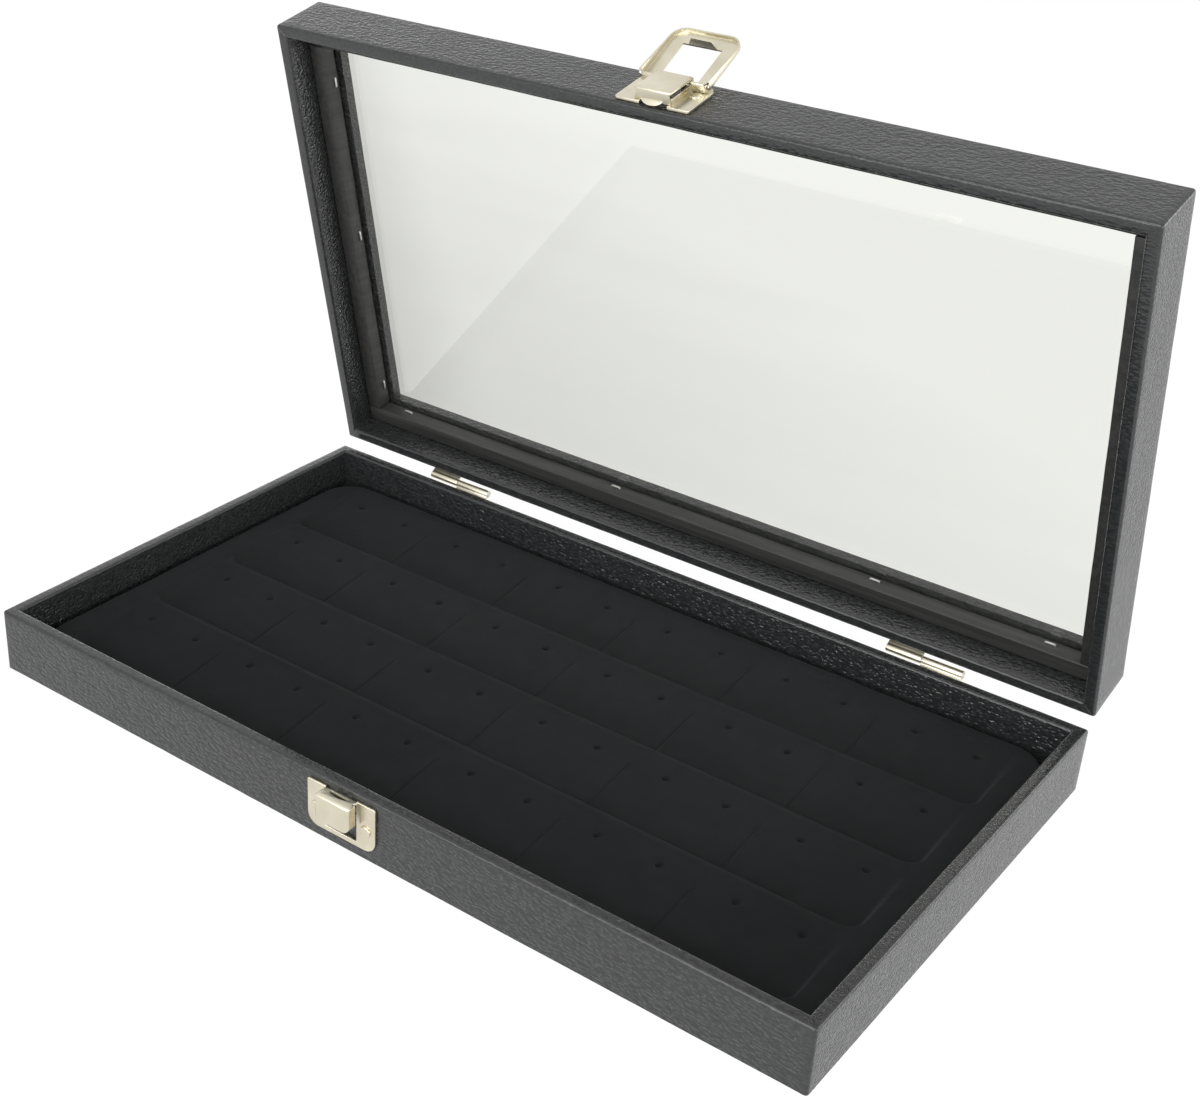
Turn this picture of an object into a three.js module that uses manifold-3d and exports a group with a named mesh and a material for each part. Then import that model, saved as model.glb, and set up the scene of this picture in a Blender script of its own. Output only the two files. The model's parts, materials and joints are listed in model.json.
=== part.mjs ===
// Glass-topped jewelry display case with an earring insert, lid open.
// Millimetres, +Z up. The origin is the centre of the base's underside, +X runs
// along the long side and the front of the case faces -Y.

import * as THREE from "three";
import { mergeVertices } from "three/addons/utils/BufferGeometryUtils.js";
import Module from "manifold-3d";

const wasm = await Module();
wasm.setup();

// Case
const case_width = 374.65;
const case_depth = 209.55;
const base_height = 27;
const lid_depth = 27;
const rim_width = 5.2;
const covering = 0.6;
const edge_radius = 1;
const edge_steps = 3;
const seat_gap = 0.25;
const mitre_gap = 0.15;
const floor_thickness = 3;

// Lid opening
const lid_open_deg = 77.6;
const rim_gap = 1;

// Glass and the lip that carries it
const lip_width = 14.5;
const lip_thickness = 5;
const glass_thickness = 2.5;
const glass_clearance = 0.5;

// Strips that hold the glass, and their staples
const strip_width = 7.05;
const strip_height = 7.2;
const staple_crown = 4.5;
const staple_wire = 1;
const staple_thickness = 0.6;
const staple_bite = 1.1;
const staple_offset = 1.2;
const staple_clearance = 0.2;
const long_staple_shares = [-0.43, -0.11, 0.23, 0.43];
const short_staple_shares = [-0.355, 0, 0.385];

// Earring insert
const insert_clearance = 2.725;
const insert_height = 10.5;
const insert_corner = 15;
const insert_sheet = 1.6;
const side_border = 11.4;
const front_border = 11.05;
const back_border = 3.65;
const cell_columns = 6;
const cell_rows = 4;
const end_cell_trim = 3;
const ridge_width = 3;
const ramp_drop = 5.2;
const ramp_bow_share = 0.25;
const ramp_steps = 6;
const pocket_corner = 6;
const corner_steps = 5;
const divider_width = 1.1;
const divider_depth = 0.8;
const divider_stop = 7.75;
const post_hole_radius = 1.5;
const post_hole_sides = 8;
const post_hole_spacing = 26;
const post_hole_from_ridge = 9.1;

// Hinges
const hinge_from_end = 69.3;
const hinge_length = 33;
const knuckle_stand_off = 0.75;
const knuckle_radius = 2.3;
const knuckle_split_share = 0.47;
const knuckle_gap = 0.3;
const hinge_pin_radius = 0.95;
const hinge_pin_clearance = 0.3;
const leaf_thickness = 0.8;
const leaf_height = 13;
const leaf_relief = 0.3;
const nail_from_end = 6.5;
const nail_drop = 8;
const nail_head_radius = 1.6;
const nail_head_height = 0.7;
const nail_shank_radius = 0.7;
const nail_bite = 3.5;
const fastener_clearance = 0.25;
const round_steps = 24;
const small_round_steps = 16;

// Latch plates, the same pressing on the lid and on the base
const latch_centre = -2;
const plate_width = 32;
const plate_height = 19.5;
const plate_from_rim = 2.7;
const plate_thickness = 0.8;
const plate_corner = 5;
const hump_width = 15.5;
const hump_height = 6.4;
const base_hump_length = 11.6;
const lid_hump_length = 15.7;
const hump_lip = 2.2;
const window_margin = 2.2;
const hump_corner = 1.8;
const side_slit = 0.9;
const moon_width = 8.4;
const moon_height = 1.8;
const notch_width = 1.1;
const notch_height = 1.2;
const side_reach = 9.3;
const rivet_from_side = 4.2;
const rivet_from_edge = 10.8;
const rivet_head_radius = 2.1;
const rivet_head_height = 0.8;
const rivet_shank_radius = 1.1;
const rivet_bite = 3.5;

// Bail and the rod that it turns on
const bail_rest_deg = 17.6;
const bail_width = 30;
const bail_opening = 17;
const hook_clearance = 0.9;
const bail_end_width = 6.7;
const bail_sheet = 0.7;
const bail_flange = 2.2;
const bail_corner = 6;
const bail_sheet_offset = 2.2;
const bail_foot = 1.3;
const bail_tab_root = 13;
const bail_tab_tip = 9;
const bail_tab_length = 3.9;
const ear_radius = 1.6;
const rod_radius = 0.7;
const rod_clearance = 0.15;
const rod_height = 4.5;
const rod_stop_gap = 0.3;

const overrun = 2;

const half_width = case_width / 2;
const half_depth = case_depth / 2;
const knuckle_bore = hinge_pin_radius + hinge_pin_clearance;
const hinge_axis_out = knuckle_stand_off + knuckle_radius;
const hinge_centre = half_width - hinge_from_end;
const plate_face = seat_gap + plate_thickness;
const leaf_face = seat_gap + leaf_thickness;
const nail_spacing = hinge_length - 2 * nail_from_end;
const nail_length = leaf_face + nail_bite;
const rivet_spacing = plate_width - 2 * rivet_from_side;
const rivet_length = plate_face + rivet_bite;
const staple_leg = strip_width + covering + 3 * seat_gap + staple_bite;

// Finishes
const finishes = {
  board: new THREE.MeshStandardMaterial({ color: 0x8a6a48, roughness: 0.8, metalness: 0 }),
  leatherette: new THREE.MeshStandardMaterial({ color: 0x2b2c2d, roughness: 0.5, metalness: 0 }),
  stained_wood: new THREE.MeshStandardMaterial({ color: 0x2a2723, roughness: 0.55, metalness: 0 }),
  glass: new THREE.MeshStandardMaterial({
    color: 0xe8eeea, roughness: 0.04, metalness: 0, transparent: true, opacity: 0.25,
  }),
  flock: new THREE.MeshStandardMaterial({ color: 0x1d1e1f, roughness: 1, metalness: 0 }),
  nickel: new THREE.MeshStandardMaterial({ color: 0xd8d2bf, roughness: 0.25, metalness: 1 }),
  steel: new THREE.MeshStandardMaterial({ color: 0xc9c9c6, roughness: 0.35, metalness: 1 }),
};

// Solids

function solidOf(geometry) {
  const bare = geometry.clone();
  bare.deleteAttribute("normal");
  bare.deleteAttribute("uv");
  const merged = mergeVertices(bare);
  return new wasm.Manifold(new wasm.Mesh({
    numProp: 3,
    vertProperties: new Float32Array(merged.attributes.position.array),
    triVerts: new Uint32Array(merged.index.array),
  }));
}

function geometryOf(solid) {
  const mesh = solid.getMesh();
  const geometry = new THREE.BufferGeometry();
  geometry.setAttribute("position", new THREE.BufferAttribute(mesh.vertProperties, mesh.numProp));
  geometry.setIndex(new THREE.BufferAttribute(mesh.triVerts, 1));
  geometry.computeVertexNormals();
  return geometry;
}

function joined(first, ...others) {
  return geometryOf(others.reduce((sum, other) => sum.add(solidOf(other)), solidOf(first)));
}

function cut(body, ...tools) {
  return geometryOf(tools.reduce((rest, tool) => rest.subtract(solidOf(tool)), solidOf(body)));
}

function common(first, second) {
  return geometryOf(solidOf(first).intersect(solidOf(second)));
}

function block([x0, x1], [y0, y1], [z0, z1]) {
  const geometry = new THREE.BoxGeometry(x1 - x0, y1 - y0, z1 - z0);
  return geometry.translate((x0 + x1) / 2, (y0 + y1) / 2, (z0 + z1) / 2);
}

function shapeOf(points) {
  return new THREE.Shape(points.map(([u, v]) => new THREE.Vector2(u, v)));
}

// An outline in X and Y, raised from z0 to z1.
function raised(points, [z0, z1]) {
  const geometry = new THREE.ExtrudeGeometry(shapeOf(points), { depth: z1 - z0, bevelEnabled: false });
  return geometry.translate(0, 0, z0);
}

// An outline in Y and Z, drawn out along X from x0 to x1.
function drawnAlongX(points, [x0, x1]) {
  const geometry = new THREE.ExtrudeGeometry(shapeOf(points), { depth: x1 - x0, bevelEnabled: false });
  const turn = new THREE.Matrix4().makeBasis(
    new THREE.Vector3(0, 1, 0), new THREE.Vector3(0, 0, 1), new THREE.Vector3(1, 0, 0));
  return geometry.applyMatrix4(turn).translate(x0, 0, 0);
}

function rodAlongX(radius, [x0, x1], steps) {
  const geometry = new THREE.CylinderGeometry(radius, radius, x1 - x0, steps);
  return geometry.rotateZ(Math.PI / 2).translate((x0 + x1) / 2, 0, 0);
}

function rodAlongY(radius, [y0, y1], steps) {
  const geometry = new THREE.CylinderGeometry(radius, radius, y1 - y0, steps);
  return geometry.translate(0, (y0 + y1) / 2, 0);
}

function arc(centre_u, centre_v, radius, from_deg, to_deg, steps) {
  return Array.from({ length: steps + 1 }, (_, step) => {
    const angle = THREE.MathUtils.degToRad(from_deg + (to_deg - from_deg) * step / steps);
    return [centre_u + radius * Math.cos(angle), centre_v + radius * Math.sin(angle)];
  });
}

function roundedRectangle([u0, u1], [v0, v1], radius, steps) {
  return [
    ...arc(u0 + radius, v0 + radius, radius, 180, 270, steps),
    ...arc(u1 - radius, v0 + radius, radius, 270, 360, steps),
    ...arc(u1 - radius, v1 - radius, radius, 0, 90, steps),
    ...arc(u0 + radius, v1 - radius, radius, 90, 180, steps),
  ];
}

// Frames of a section [inset from the outside, height], mitred at the four corners

// Each corner's place as shares of the half width and half depth, and the side that starts there.
const corner_shares = [[-1, -1], [1, -1], [1, 1], [-1, 1]];
const frame_sides = ["front", "right", "back", "left"];

function closedMesh(points, faces) {
  const geometry = new THREE.BufferGeometry();
  geometry.setAttribute("position", new THREE.Float32BufferAttribute(points.flat(), 3));
  geometry.setIndex(faces.flat());
  geometry.computeVertexNormals();
  return geometry;
}

function cornerPoints(section, corner, [shorten_x, shorten_y]) {
  const [sign_x, sign_y] = corner_shares[corner % corner_shares.length];
  return section.map(([inset, height]) => [
    sign_x * (half_width - inset - shorten_x), sign_y * (half_depth - inset - shorten_y), height,
  ]);
}

function sideFaces(count, first, second) {
  return Array.from({ length: count }, (_, point) => {
    const next = (point + 1) % count;
    return [
      [first + point, second + point, second + next],
      [first + point, second + next, first + next],
    ];
  }).flat();
}

function mitredRing(section) {
  const points = corner_shares.flatMap((_, corner) => cornerPoints(section, corner, [0, 0]));
  const faces = corner_shares.flatMap((_, corner) => {
    const next = (corner + 1) % corner_shares.length;
    return sideFaces(section.length, corner * section.length, next * section.length);
  });
  return closedMesh(points, faces);
}

function mitredRail(section, side) {
  const corner = frame_sides.indexOf(side);
  const shorten = corner % 2 === 0 ? [mitre_gap, 0] : [0, mitre_gap];
  const points = [...cornerPoints(section, corner, shorten), ...cornerPoints(section, corner + 1, shorten)];
  const contour = section.map(([inset, height]) => new THREE.Vector2(inset, height));
  const cap = THREE.ShapeUtils.triangulateShape(contour, []);
  const near_cap = cap.map(([a, b, c]) => [c, b, a]);
  const far_cap = cap.map(([a, b, c]) => [a + section.length, b + section.length, c + section.length]);
  return closedMesh(points, [...sideFaces(section.length, 0, section.length), ...near_cap, ...far_cap]);
}

// Staples, nails and rivets. Each is drawn pointing along +Y, its head's seat at the origin.

function stapleSolid(swell) {
  const half_crown = staple_crown / 2 + swell;
  const leg_inside = staple_crown / 2 - staple_wire - swell;
  const half_wire = staple_wire / 2 + swell;
  const depth = [-staple_thickness, staple_leg + swell];
  return joined(
    block([-half_crown, half_crown], [-staple_thickness, seat_gap], [-half_wire, half_wire]),
    block([-half_crown, -leg_inside], depth, [-half_wire, half_wire]),
    block([leg_inside, half_crown], depth, [-half_wire, half_wire]),
  );
}

function domedFastener(head_radius, head_height, shank_radius, length) {
  const dome = Array.from({ length: edge_steps + 1 }, (_, step) => {
    const angle = (Math.PI / 2) * step / edge_steps;
    return new THREE.Vector2(head_radius * Math.cos(angle), head_height * Math.sin(angle));
  });
  dome[edge_steps].x = 0;
  const profile = [
    new THREE.Vector2(0, -length),
    new THREE.Vector2(shank_radius, -length),
    new THREE.Vector2(shank_radius, 0),
    ...dome,
  ];
  return new THREE.LatheGeometry(profile, small_round_steps).rotateX(Math.PI);
}

function shankHole(shank_radius, length) {
  const reach = [-overrun, length + fastener_clearance];
  return rodAlongY(shank_radius + fastener_clearance, reach, small_round_steps);
}

const staple_hole = stapleSolid(staple_clearance);

// Where each staple sits on the strips, in the closed lid, turned to point outwards.
const lid_bottom = base_height + rim_gap;
const lid_top = lid_bottom + lid_depth;
const lip_seat = lid_top - lip_thickness;
const glass_bottom = lip_seat - seat_gap - glass_thickness;
const strip_top = glass_bottom - seat_gap;
const strip_bottom = strip_top - strip_height;
const strip_inset = rim_width + seat_gap;
const staple_height = (strip_top + strip_bottom) / 2 + staple_offset;

function staplePlaces() {
  const face_y = half_depth - strip_inset - strip_width - seat_gap;
  const face_x = half_width - strip_inset - strip_width - seat_gap;
  const places = [];
  long_staple_shares.forEach((share, index) => {
    const x = share * case_width;
    places.push({ side: "back", index, turn: 0, at: [x, face_y, staple_height] });
    places.push({ side: "front", index, turn: Math.PI, at: [x, -face_y, staple_height] });
  });
  short_staple_shares.forEach((share, index) => {
    const y = share * case_depth;
    places.push({ side: "left", index, turn: Math.PI / 2, at: [-face_x, y, staple_height] });
    places.push({ side: "right", index, turn: -Math.PI / 2, at: [face_x, y, staple_height] });
  });
  return places;
}

function placed(geometry, turn, at) {
  return geometry.clone().rotateZ(turn).translate(...at);
}

// Hinge and latch places, in the row frame with the lid closed.
const hinge_y = half_depth + hinge_axis_out;
const hinge_z = base_height + rim_gap / 2;
const rivet_height = plate_from_rim + rivet_from_edge;
const base_rivet_z = base_height - rivet_height;
const lid_rivet_z = lid_bottom + rivet_height;

function nailPlaces(z) {
  return [-hinge_centre, hinge_centre].flatMap((centre) =>
    [-nail_spacing / 2, nail_spacing / 2].map((offset) => [centre + offset, half_depth + leaf_face, z]));
}

function rivetPlaces(z) {
  return [-rivet_spacing / 2, rivet_spacing / 2].map((offset) =>
    [latch_centre + offset, -half_depth - plate_face, z]);
}

const base_nails = nailPlaces(hinge_z - nail_drop);
const lid_nails = nailPlaces(hinge_z + nail_drop);
const base_rivets = rivetPlaces(base_rivet_z);
const lid_rivets = rivetPlaces(lid_rivet_z);
const nail_hole = shankHole(nail_shank_radius, nail_length);
const rivet_hole = shankHole(rivet_shank_radius, rivet_length);

function wallHoles(nails, rivets) {
  return [
    ...nails.map((at) => placed(nail_hole, Math.PI, at)),
    ...rivets.map((at) => placed(rivet_hole, 0, at)),
  ];
}

// Base

const board_inset = covering + seat_gap;

function baseWallSection() {
  const inner = rim_width - board_inset;
  const top = base_height - board_inset;
  return [[board_inset, 0], [board_inset, top], [inner, top], [inner, 0]];
}

function baseCoveringSection() {
  const top = base_height - edge_radius;
  const inner_edge = floor_thickness + seat_gap;
  return [
    [0, 0],
    ...arc(edge_radius, top, edge_radius, 180, 90, edge_steps),
    ...arc(rim_width - edge_radius, top, edge_radius, 90, 0, edge_steps),
    [rim_width, inner_edge],
    [rim_width - covering, inner_edge],
    [rim_width - covering, base_height - covering],
    [covering, base_height - covering],
    [covering, 0],
  ];
}

function baseFloor() {
  const inset = rim_width - board_inset + seat_gap;
  const x = [-half_width + inset, half_width - inset];
  const y = [-half_depth + inset, half_depth - inset];
  return block(x, y, [0, floor_thickness]);
}

// Lid, drawn closed

function lidRailSection() {
  const wall = rim_width - board_inset;
  const lip = lip_width - board_inset;
  const top = lid_top - board_inset;
  const bottom = lid_bottom + board_inset;
  return [
    [board_inset, bottom], [board_inset, top], [lip, top], [lip, lip_seat], [wall, lip_seat], [wall, bottom],
  ];
}

function lidCoveringSection() {
  const low = lid_bottom + edge_radius;
  const high = lid_top - edge_radius;
  const end = lip_seat - seat_gap;
  return [
    [rim_width, end],
    ...arc(rim_width - edge_radius, low, edge_radius, 0, -90, edge_steps),
    ...arc(edge_radius, low, edge_radius, -90, -180, edge_steps),
    ...arc(edge_radius, high, edge_radius, 180, 90, edge_steps),
    ...arc(lip_width - edge_radius, high, edge_radius, 90, 0, edge_steps),
    [lip_width, lip_seat],
    [lip_width - covering, lip_seat],
    [lip_width - covering, lid_top - covering],
    [covering, lid_top - covering],
    [covering, lid_bottom + covering],
    [rim_width - covering, lid_bottom + covering],
    [rim_width - covering, end],
  ];
}

function glassPane() {
  const inset = rim_width + glass_clearance;
  const x = [-half_width + inset, half_width - inset];
  const y = [-half_depth + inset, half_depth - inset];
  return block(x, y, [glass_bottom, glass_bottom + glass_thickness]);
}

function stripBar(side) {
  const outer_x = half_width - strip_inset;
  const outer_y = half_depth - strip_inset;
  const z = [strip_bottom, strip_top];
  const end_y = outer_y - strip_width - seat_gap;
  const bars = {
    front: () => block([-outer_x, outer_x], [-outer_y, -outer_y + strip_width], z),
    back: () => block([-outer_x, outer_x], [outer_y - strip_width, outer_y], z),
    left: () => block([-outer_x, -outer_x + strip_width], [-end_y, end_y], z),
    right: () => block([outer_x - strip_width, outer_x], [-end_y, end_y], z),
  };
  return bars[side]();
}

// Earring insert: one sheet formed into rows of ramped pockets, open underneath

const insert_bottom = floor_thickness + seat_gap;
const insert_top = insert_bottom + insert_height;
const insert_width = case_width - 2 * (rim_width + insert_clearance);
const insert_depth = case_depth - 2 * (rim_width + insert_clearance);
const pocket_width = insert_width - 2 * side_border;
const cells_width = pocket_width + 2 * end_cell_trim;
const cell_pitch = cells_width / cell_columns;
const field_front = front_border - insert_depth / 2;
const row_pitch = (insert_depth - front_border - back_border) / cell_rows;
const row_length = row_pitch - ridge_width;

// Height of a row's ramp, from 0 at its front edge to 1 at its ridge.
function rampHeight(share) {
  const rise = (1 + ramp_bow_share) * share - ramp_bow_share * share * share;
  return insert_top - ramp_drop * (1 - rise);
}

function rampRegion(front, back, lower) {
  const ramp = Array.from({ length: ramp_steps + 1 }, (_, step) => {
    const share = step / ramp_steps;
    return [front + (back - front) * share, rampHeight(share) - lower];
  });
  return [...ramp, [back, insert_top + overrun], [front, insert_top + overrun]];
}

function rowPocket(row, grow) {
  const front = field_front + row * row_pitch;
  const back = front + row_length;
  const half = pocket_width / 2 + grow;
  const corner = pocket_corner + grow;
  const plan = roundedRectangle([-half, half], [front - grow, back + grow], corner, corner_steps);
  const top = insert_top + overrun;
  const region = rampRegion(front - grow, back + grow, grow);
  return common(raised(plan, [insert_bottom, top]), drawnAlongX(region, [-half, half]));
}

function rowDividers(row) {
  const front = field_front + row * row_pitch;
  const back = front + row_length;
  const region = rampRegion(front, back, divider_depth);
  const keep = [front, back - divider_stop];
  return Array.from({ length: cell_columns - 1 }, (_, index) => {
    const x = (index + 1) * cell_pitch - cells_width / 2;
    const width = [x - divider_width / 2, x + divider_width / 2];
    return common(drawnAlongX(region, width), block(width, keep, [insert_bottom, insert_top]));
  });
}

function rowHoles(row) {
  const y = field_front + (row + 1) * row_pitch - ridge_width - post_hole_from_ridge;
  const length = insert_height + overrun;
  return Array.from({ length: cell_columns }, (_, column) => {
    const centre = (column + 1 / 2) * cell_pitch - cells_width / 2;
    return [-post_hole_spacing / 2, post_hole_spacing / 2].map((offset) => {
      const hole = new THREE.CylinderGeometry(post_hole_radius, post_hole_radius, length, post_hole_sides);
      return hole.rotateX(Math.PI / 2).translate(centre + offset, y, insert_bottom + insert_height / 2);
    });
  }).flat();
}

function earringInsert() {
  const rows = Array.from({ length: cell_rows }, (_, row) => row);
  const half_x = insert_width / 2;
  const half_y = insert_depth / 2;
  const outline = roundedRectangle([-half_x, half_x], [-half_y, half_y], insert_corner, corner_steps);
  const body = raised(outline, [insert_bottom, insert_top]);
  const inner_x = half_x - insert_sheet;
  const inner_y = half_y - insert_sheet;
  const inner_corner = insert_corner - insert_sheet;
  const inside = roundedRectangle([-inner_x, inner_x], [-inner_y, inner_y], inner_corner, corner_steps);
  const inner_block = raised(inside, [insert_bottom - overrun, insert_top - insert_sheet]);
  const hollow = cut(inner_block, ...rows.map((row) => rowPocket(row, insert_sheet)));
  const pockets = rows.map((row) => rowPocket(row, 0));
  return cut(body, ...pockets, hollow, ...rows.flatMap(rowDividers), ...rows.flatMap(rowHoles));
}

// Hinges: two leaves, each rolled into a knuckle round one pin, drawn on the hinge axis

function knuckleSpan(holder) {
  const split = -hinge_length / 2 + knuckle_split_share * hinge_length;
  const half_gap = knuckle_gap / 2;
  return holder === "lid" ? [-hinge_length / 2, split - half_gap] : [split + half_gap, hinge_length / 2];
}

// The leaf hangs below the axis on the base and stands above it on the lid.
function hingeLeaf(holder) {
  const up = holder === "lid" ? 1 : -1;
  const span = knuckleSpan(holder);
  const leaf_y = [seat_gap - hinge_axis_out, leaf_face - hinge_axis_out];
  const whole = [-hinge_length / 2, hinge_length / 2];
  const start = knuckle_radius + leaf_relief;
  const below = [up * start, up * leaf_height].sort((a, b) => a - b);
  const beside = [0, up * (start + overrun)].sort((a, b) => a - b);
  const leaf = joined(
    rodAlongX(knuckle_radius, span, round_steps), block(whole, leaf_y, below), block(span, leaf_y, beside));
  const bore = rodAlongX(knuckle_bore, [span[0] - overrun, span[1] + overrun], round_steps);
  const holes = [-nail_spacing / 2, nail_spacing / 2].map((offset) =>
    placed(nail_hole, Math.PI, [offset, leaf_face - hinge_axis_out, up * nail_drop]));
  return cut(leaf, bore, ...holes);
}

// Latch plates, drawn with the wall at y = 0, outwards along -Y, and the rim at z = 0

const hump_inside = hump_width / 2 - plate_thickness;
const hump_front_in = hump_height - plate_thickness;
const near_wall = [plate_from_rim, plate_from_rim + plate_thickness];

// An outline in X and Z, standing between two distances out from the wall.
function standing(points, [near, far]) {
  return raised(points, [near, far]).rotateX(Math.PI / 2);
}

function tongueOutline(half, near, far, corner) {
  return [
    [-half, near],
    [half, near],
    ...arc(half - corner, far - corner, corner, 0, 90, corner_steps),
    ...arc(corner - half, far - corner, corner, 90, 180, corner_steps),
  ];
}

function platePressing(hump_length) {
  const far_edge = plate_from_rim + plate_height;
  const outline = tongueOutline(plate_width / 2, plate_from_rim, far_edge, plate_corner);
  const flat = standing(outline, [seat_gap, plate_face]);
  const window_z = [near_wall[1], far_edge - window_margin];
  const window = block([-hump_inside, hump_inside], [-plate_face - overrun, 0], window_z);
  const wall = block([-hump_width / 2, hump_width / 2], [-hump_height, -seat_gap], near_wall);
  const free_edge = plate_from_rim + hump_length;
  const front_outline = tongueOutline(hump_width / 2, plate_from_rim, free_edge, hump_corner);
  const front = standing(front_outline, [hump_front_in, hump_height]);
  const holes = [-rivet_spacing / 2, rivet_spacing / 2].map((offset) =>
    placed(rivet_hole, 0, [offset, -plate_face, rivet_height]));
  return cut(joined(cut(flat, window), wall, front), ...holes);
}

function humpSides([near, far]) {
  const s = [plate_from_rim, plate_from_rim + side_reach];
  const left = block([-hump_width / 2, -hump_inside], [-far, -near], s);
  const right = block([hump_inside, hump_width / 2], [-far, -near], s);
  return [left, right];
}

// The catch's side walls hang from its front, and its end wall has a half-moon opening.
function catchPlate() {
  const sides = humpSides([plate_face + side_slit, hump_height]);
  const pressed = joined(platePressing(base_hump_length), ...sides);
  const half_disc = arc(0, 0, moon_width / 2, 0, 180, small_round_steps);
  const moon = standing(half_disc, [0, plate_thickness + 2 * overrun]);
  moon.scale(1, 1, 2 * moon_height / moon_width).rotateX(Math.PI / 2);
  return cut(pressed, moon.translate(0, -plate_face, near_wall[1] + overrun));
}

// The bail's plate has low side walls, which leave a slot for the rod, and a lip that stops it.
function bailPlate() {
  const free_edge = plate_from_rim + lid_hump_length;
  const lip_half = hump_width / 2 - hump_corner;
  const lip_z = [free_edge - plate_thickness, free_edge];
  const lip = block([-lip_half, lip_half], [-hump_height, -hump_front_in + hump_lip], lip_z);
  const side_top = rod_height - rod_radius - rod_stop_gap;
  const pressed = joined(platePressing(lid_hump_length), lip, ...humpSides([seat_gap, side_top]));
  const notch_z = [near_wall[0] - overrun, near_wall[1] + overrun];
  const notches = [-1, 1].map((side) => {
    const centre = side * (moon_width + notch_width) / 2;
    return block([centre - notch_width / 2, centre + notch_width / 2], [-notch_height, 0], notch_z);
  });
  return cut(pressed, ...notches);
}

// Rod and bail, drawn round the rod's axis: +Z along the bail, its flanges towards -Y

const rod_latched_from_rim = near_wall[1] + rod_radius + rod_stop_gap;
const rod_from_rim = plate_from_rim + lid_hump_length - plate_thickness - rod_radius - rod_stop_gap;
const catch_edge = rim_gap + plate_from_rim + base_hump_length;
const bail_reach = rod_latched_from_rim + catch_edge + hook_clearance;
const bail_end = bail_reach + bail_end_width;
const sheet_back = bail_sheet_offset + bail_sheet;

function bailFrame() {
  const half = bail_width / 2;
  const open = bail_opening / 2;
  const whole = tongueOutline(half, -bail_foot, bail_end, bail_corner);
  const opening = block([-open, open], [0, sheet_back + overrun], [-bail_foot - overrun, bail_reach]);
  const sheet = cut(standing(whole, [-sheet_back, -bail_sheet_offset]), opening);
  const thin = half - bail_sheet;
  const inside = tongueOutline(thin, -bail_foot - overrun, bail_end - bail_sheet, bail_corner - bail_sheet);
  const flange = cut(
    standing(whole, [-sheet_back, bail_flange - sheet_back]),
    standing(inside, [-sheet_back - overrun, bail_flange - sheet_back + overrun]));
  const tab_root = bail_sheet_offset + bail_sheet / 2;
  const tab_tip = sheet_back - bail_tab_length;
  const tab_outline = [
    [-bail_tab_root / 2, tab_root], [bail_tab_root / 2, tab_root],
    [bail_tab_tip / 2, tab_tip], [-bail_tab_tip / 2, tab_tip],
  ];
  const tab = raised(tab_outline, [bail_reach, bail_reach + bail_sheet]);
  const ears = [[-half, -thin], [thin, half]].flatMap((x) => [
    rodAlongX(ear_radius, x, small_round_steps),
    block(x, [0, sheet_back], [-bail_foot, ear_radius]),
  ]);
  const bore = rodAlongX(rod_radius + rod_clearance, [-half - overrun, half + overrun], small_round_steps);
  return cut(joined(sheet, flange, tab, ...ears), bore);
}

// Assembly

const group = new THREE.Group();
const lid = new THREE.Group();
lid.position.set(0, hinge_y, hinge_z);
lid.rotation.x = -THREE.MathUtils.degToRad(lid_open_deg);
group.add(lid);

// Pieces of the lid are drawn closed, so they hang from the hinge axis.
const lid_pieces = new THREE.Group();
lid_pieces.position.set(0, -hinge_y, -hinge_z);
lid.add(lid_pieces);

function addPiece(parent, name, geometry, finish, at = [0, 0, 0]) {
  const mesh = new THREE.Mesh(geometry, finish);
  mesh.name = name;
  mesh.position.set(...at);
  parent.add(mesh);
  return mesh;
}

// Base frame, floor and covering
const base_holes = wallHoles(base_nails, base_rivets);
frame_sides.forEach((side) => {
  const rail = mitredRail(baseWallSection(), side);
  addPiece(group, `base_wall_${side}`, cut(rail, ...base_holes), finishes.board);
});
addPiece(group, "base_floor", baseFloor(), finishes.board);
addPiece(group, "base_covering", cut(mitredRing(baseCoveringSection()), ...base_holes), finishes.leatherette);
addPiece(group, "earring_insert", earringInsert(), finishes.flock);

// Lid frame, covering, glass and strips
const staples = staplePlaces();
const lid_holes = wallHoles(lid_nails, lid_rivets);
const staple_holes = staples.map(({ turn, at }) => placed(staple_hole, turn, at));
frame_sides.forEach((side) => {
  const rail = mitredRail(lidRailSection(), side);
  addPiece(lid_pieces, `lid_rail_${side}`, cut(rail, ...lid_holes, ...staple_holes), finishes.board);
  addPiece(lid_pieces, `glass_strip_${side}`, cut(stripBar(side), ...staple_holes), finishes.stained_wood);
});
const lid_skin = cut(mitredRing(lidCoveringSection()), ...lid_holes, ...staple_holes);
addPiece(lid_pieces, "lid_covering", lid_skin, finishes.leatherette);
addPiece(lid_pieces, "glass_pane", glassPane(), finishes.glass);
staples.forEach(({ side, index, turn, at }) => {
  const staple = placed(stapleSolid(0), turn, at);
  addPiece(lid_pieces, `strip_staple_${side}_${index + 1}`, staple, finishes.steel);
});

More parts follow.
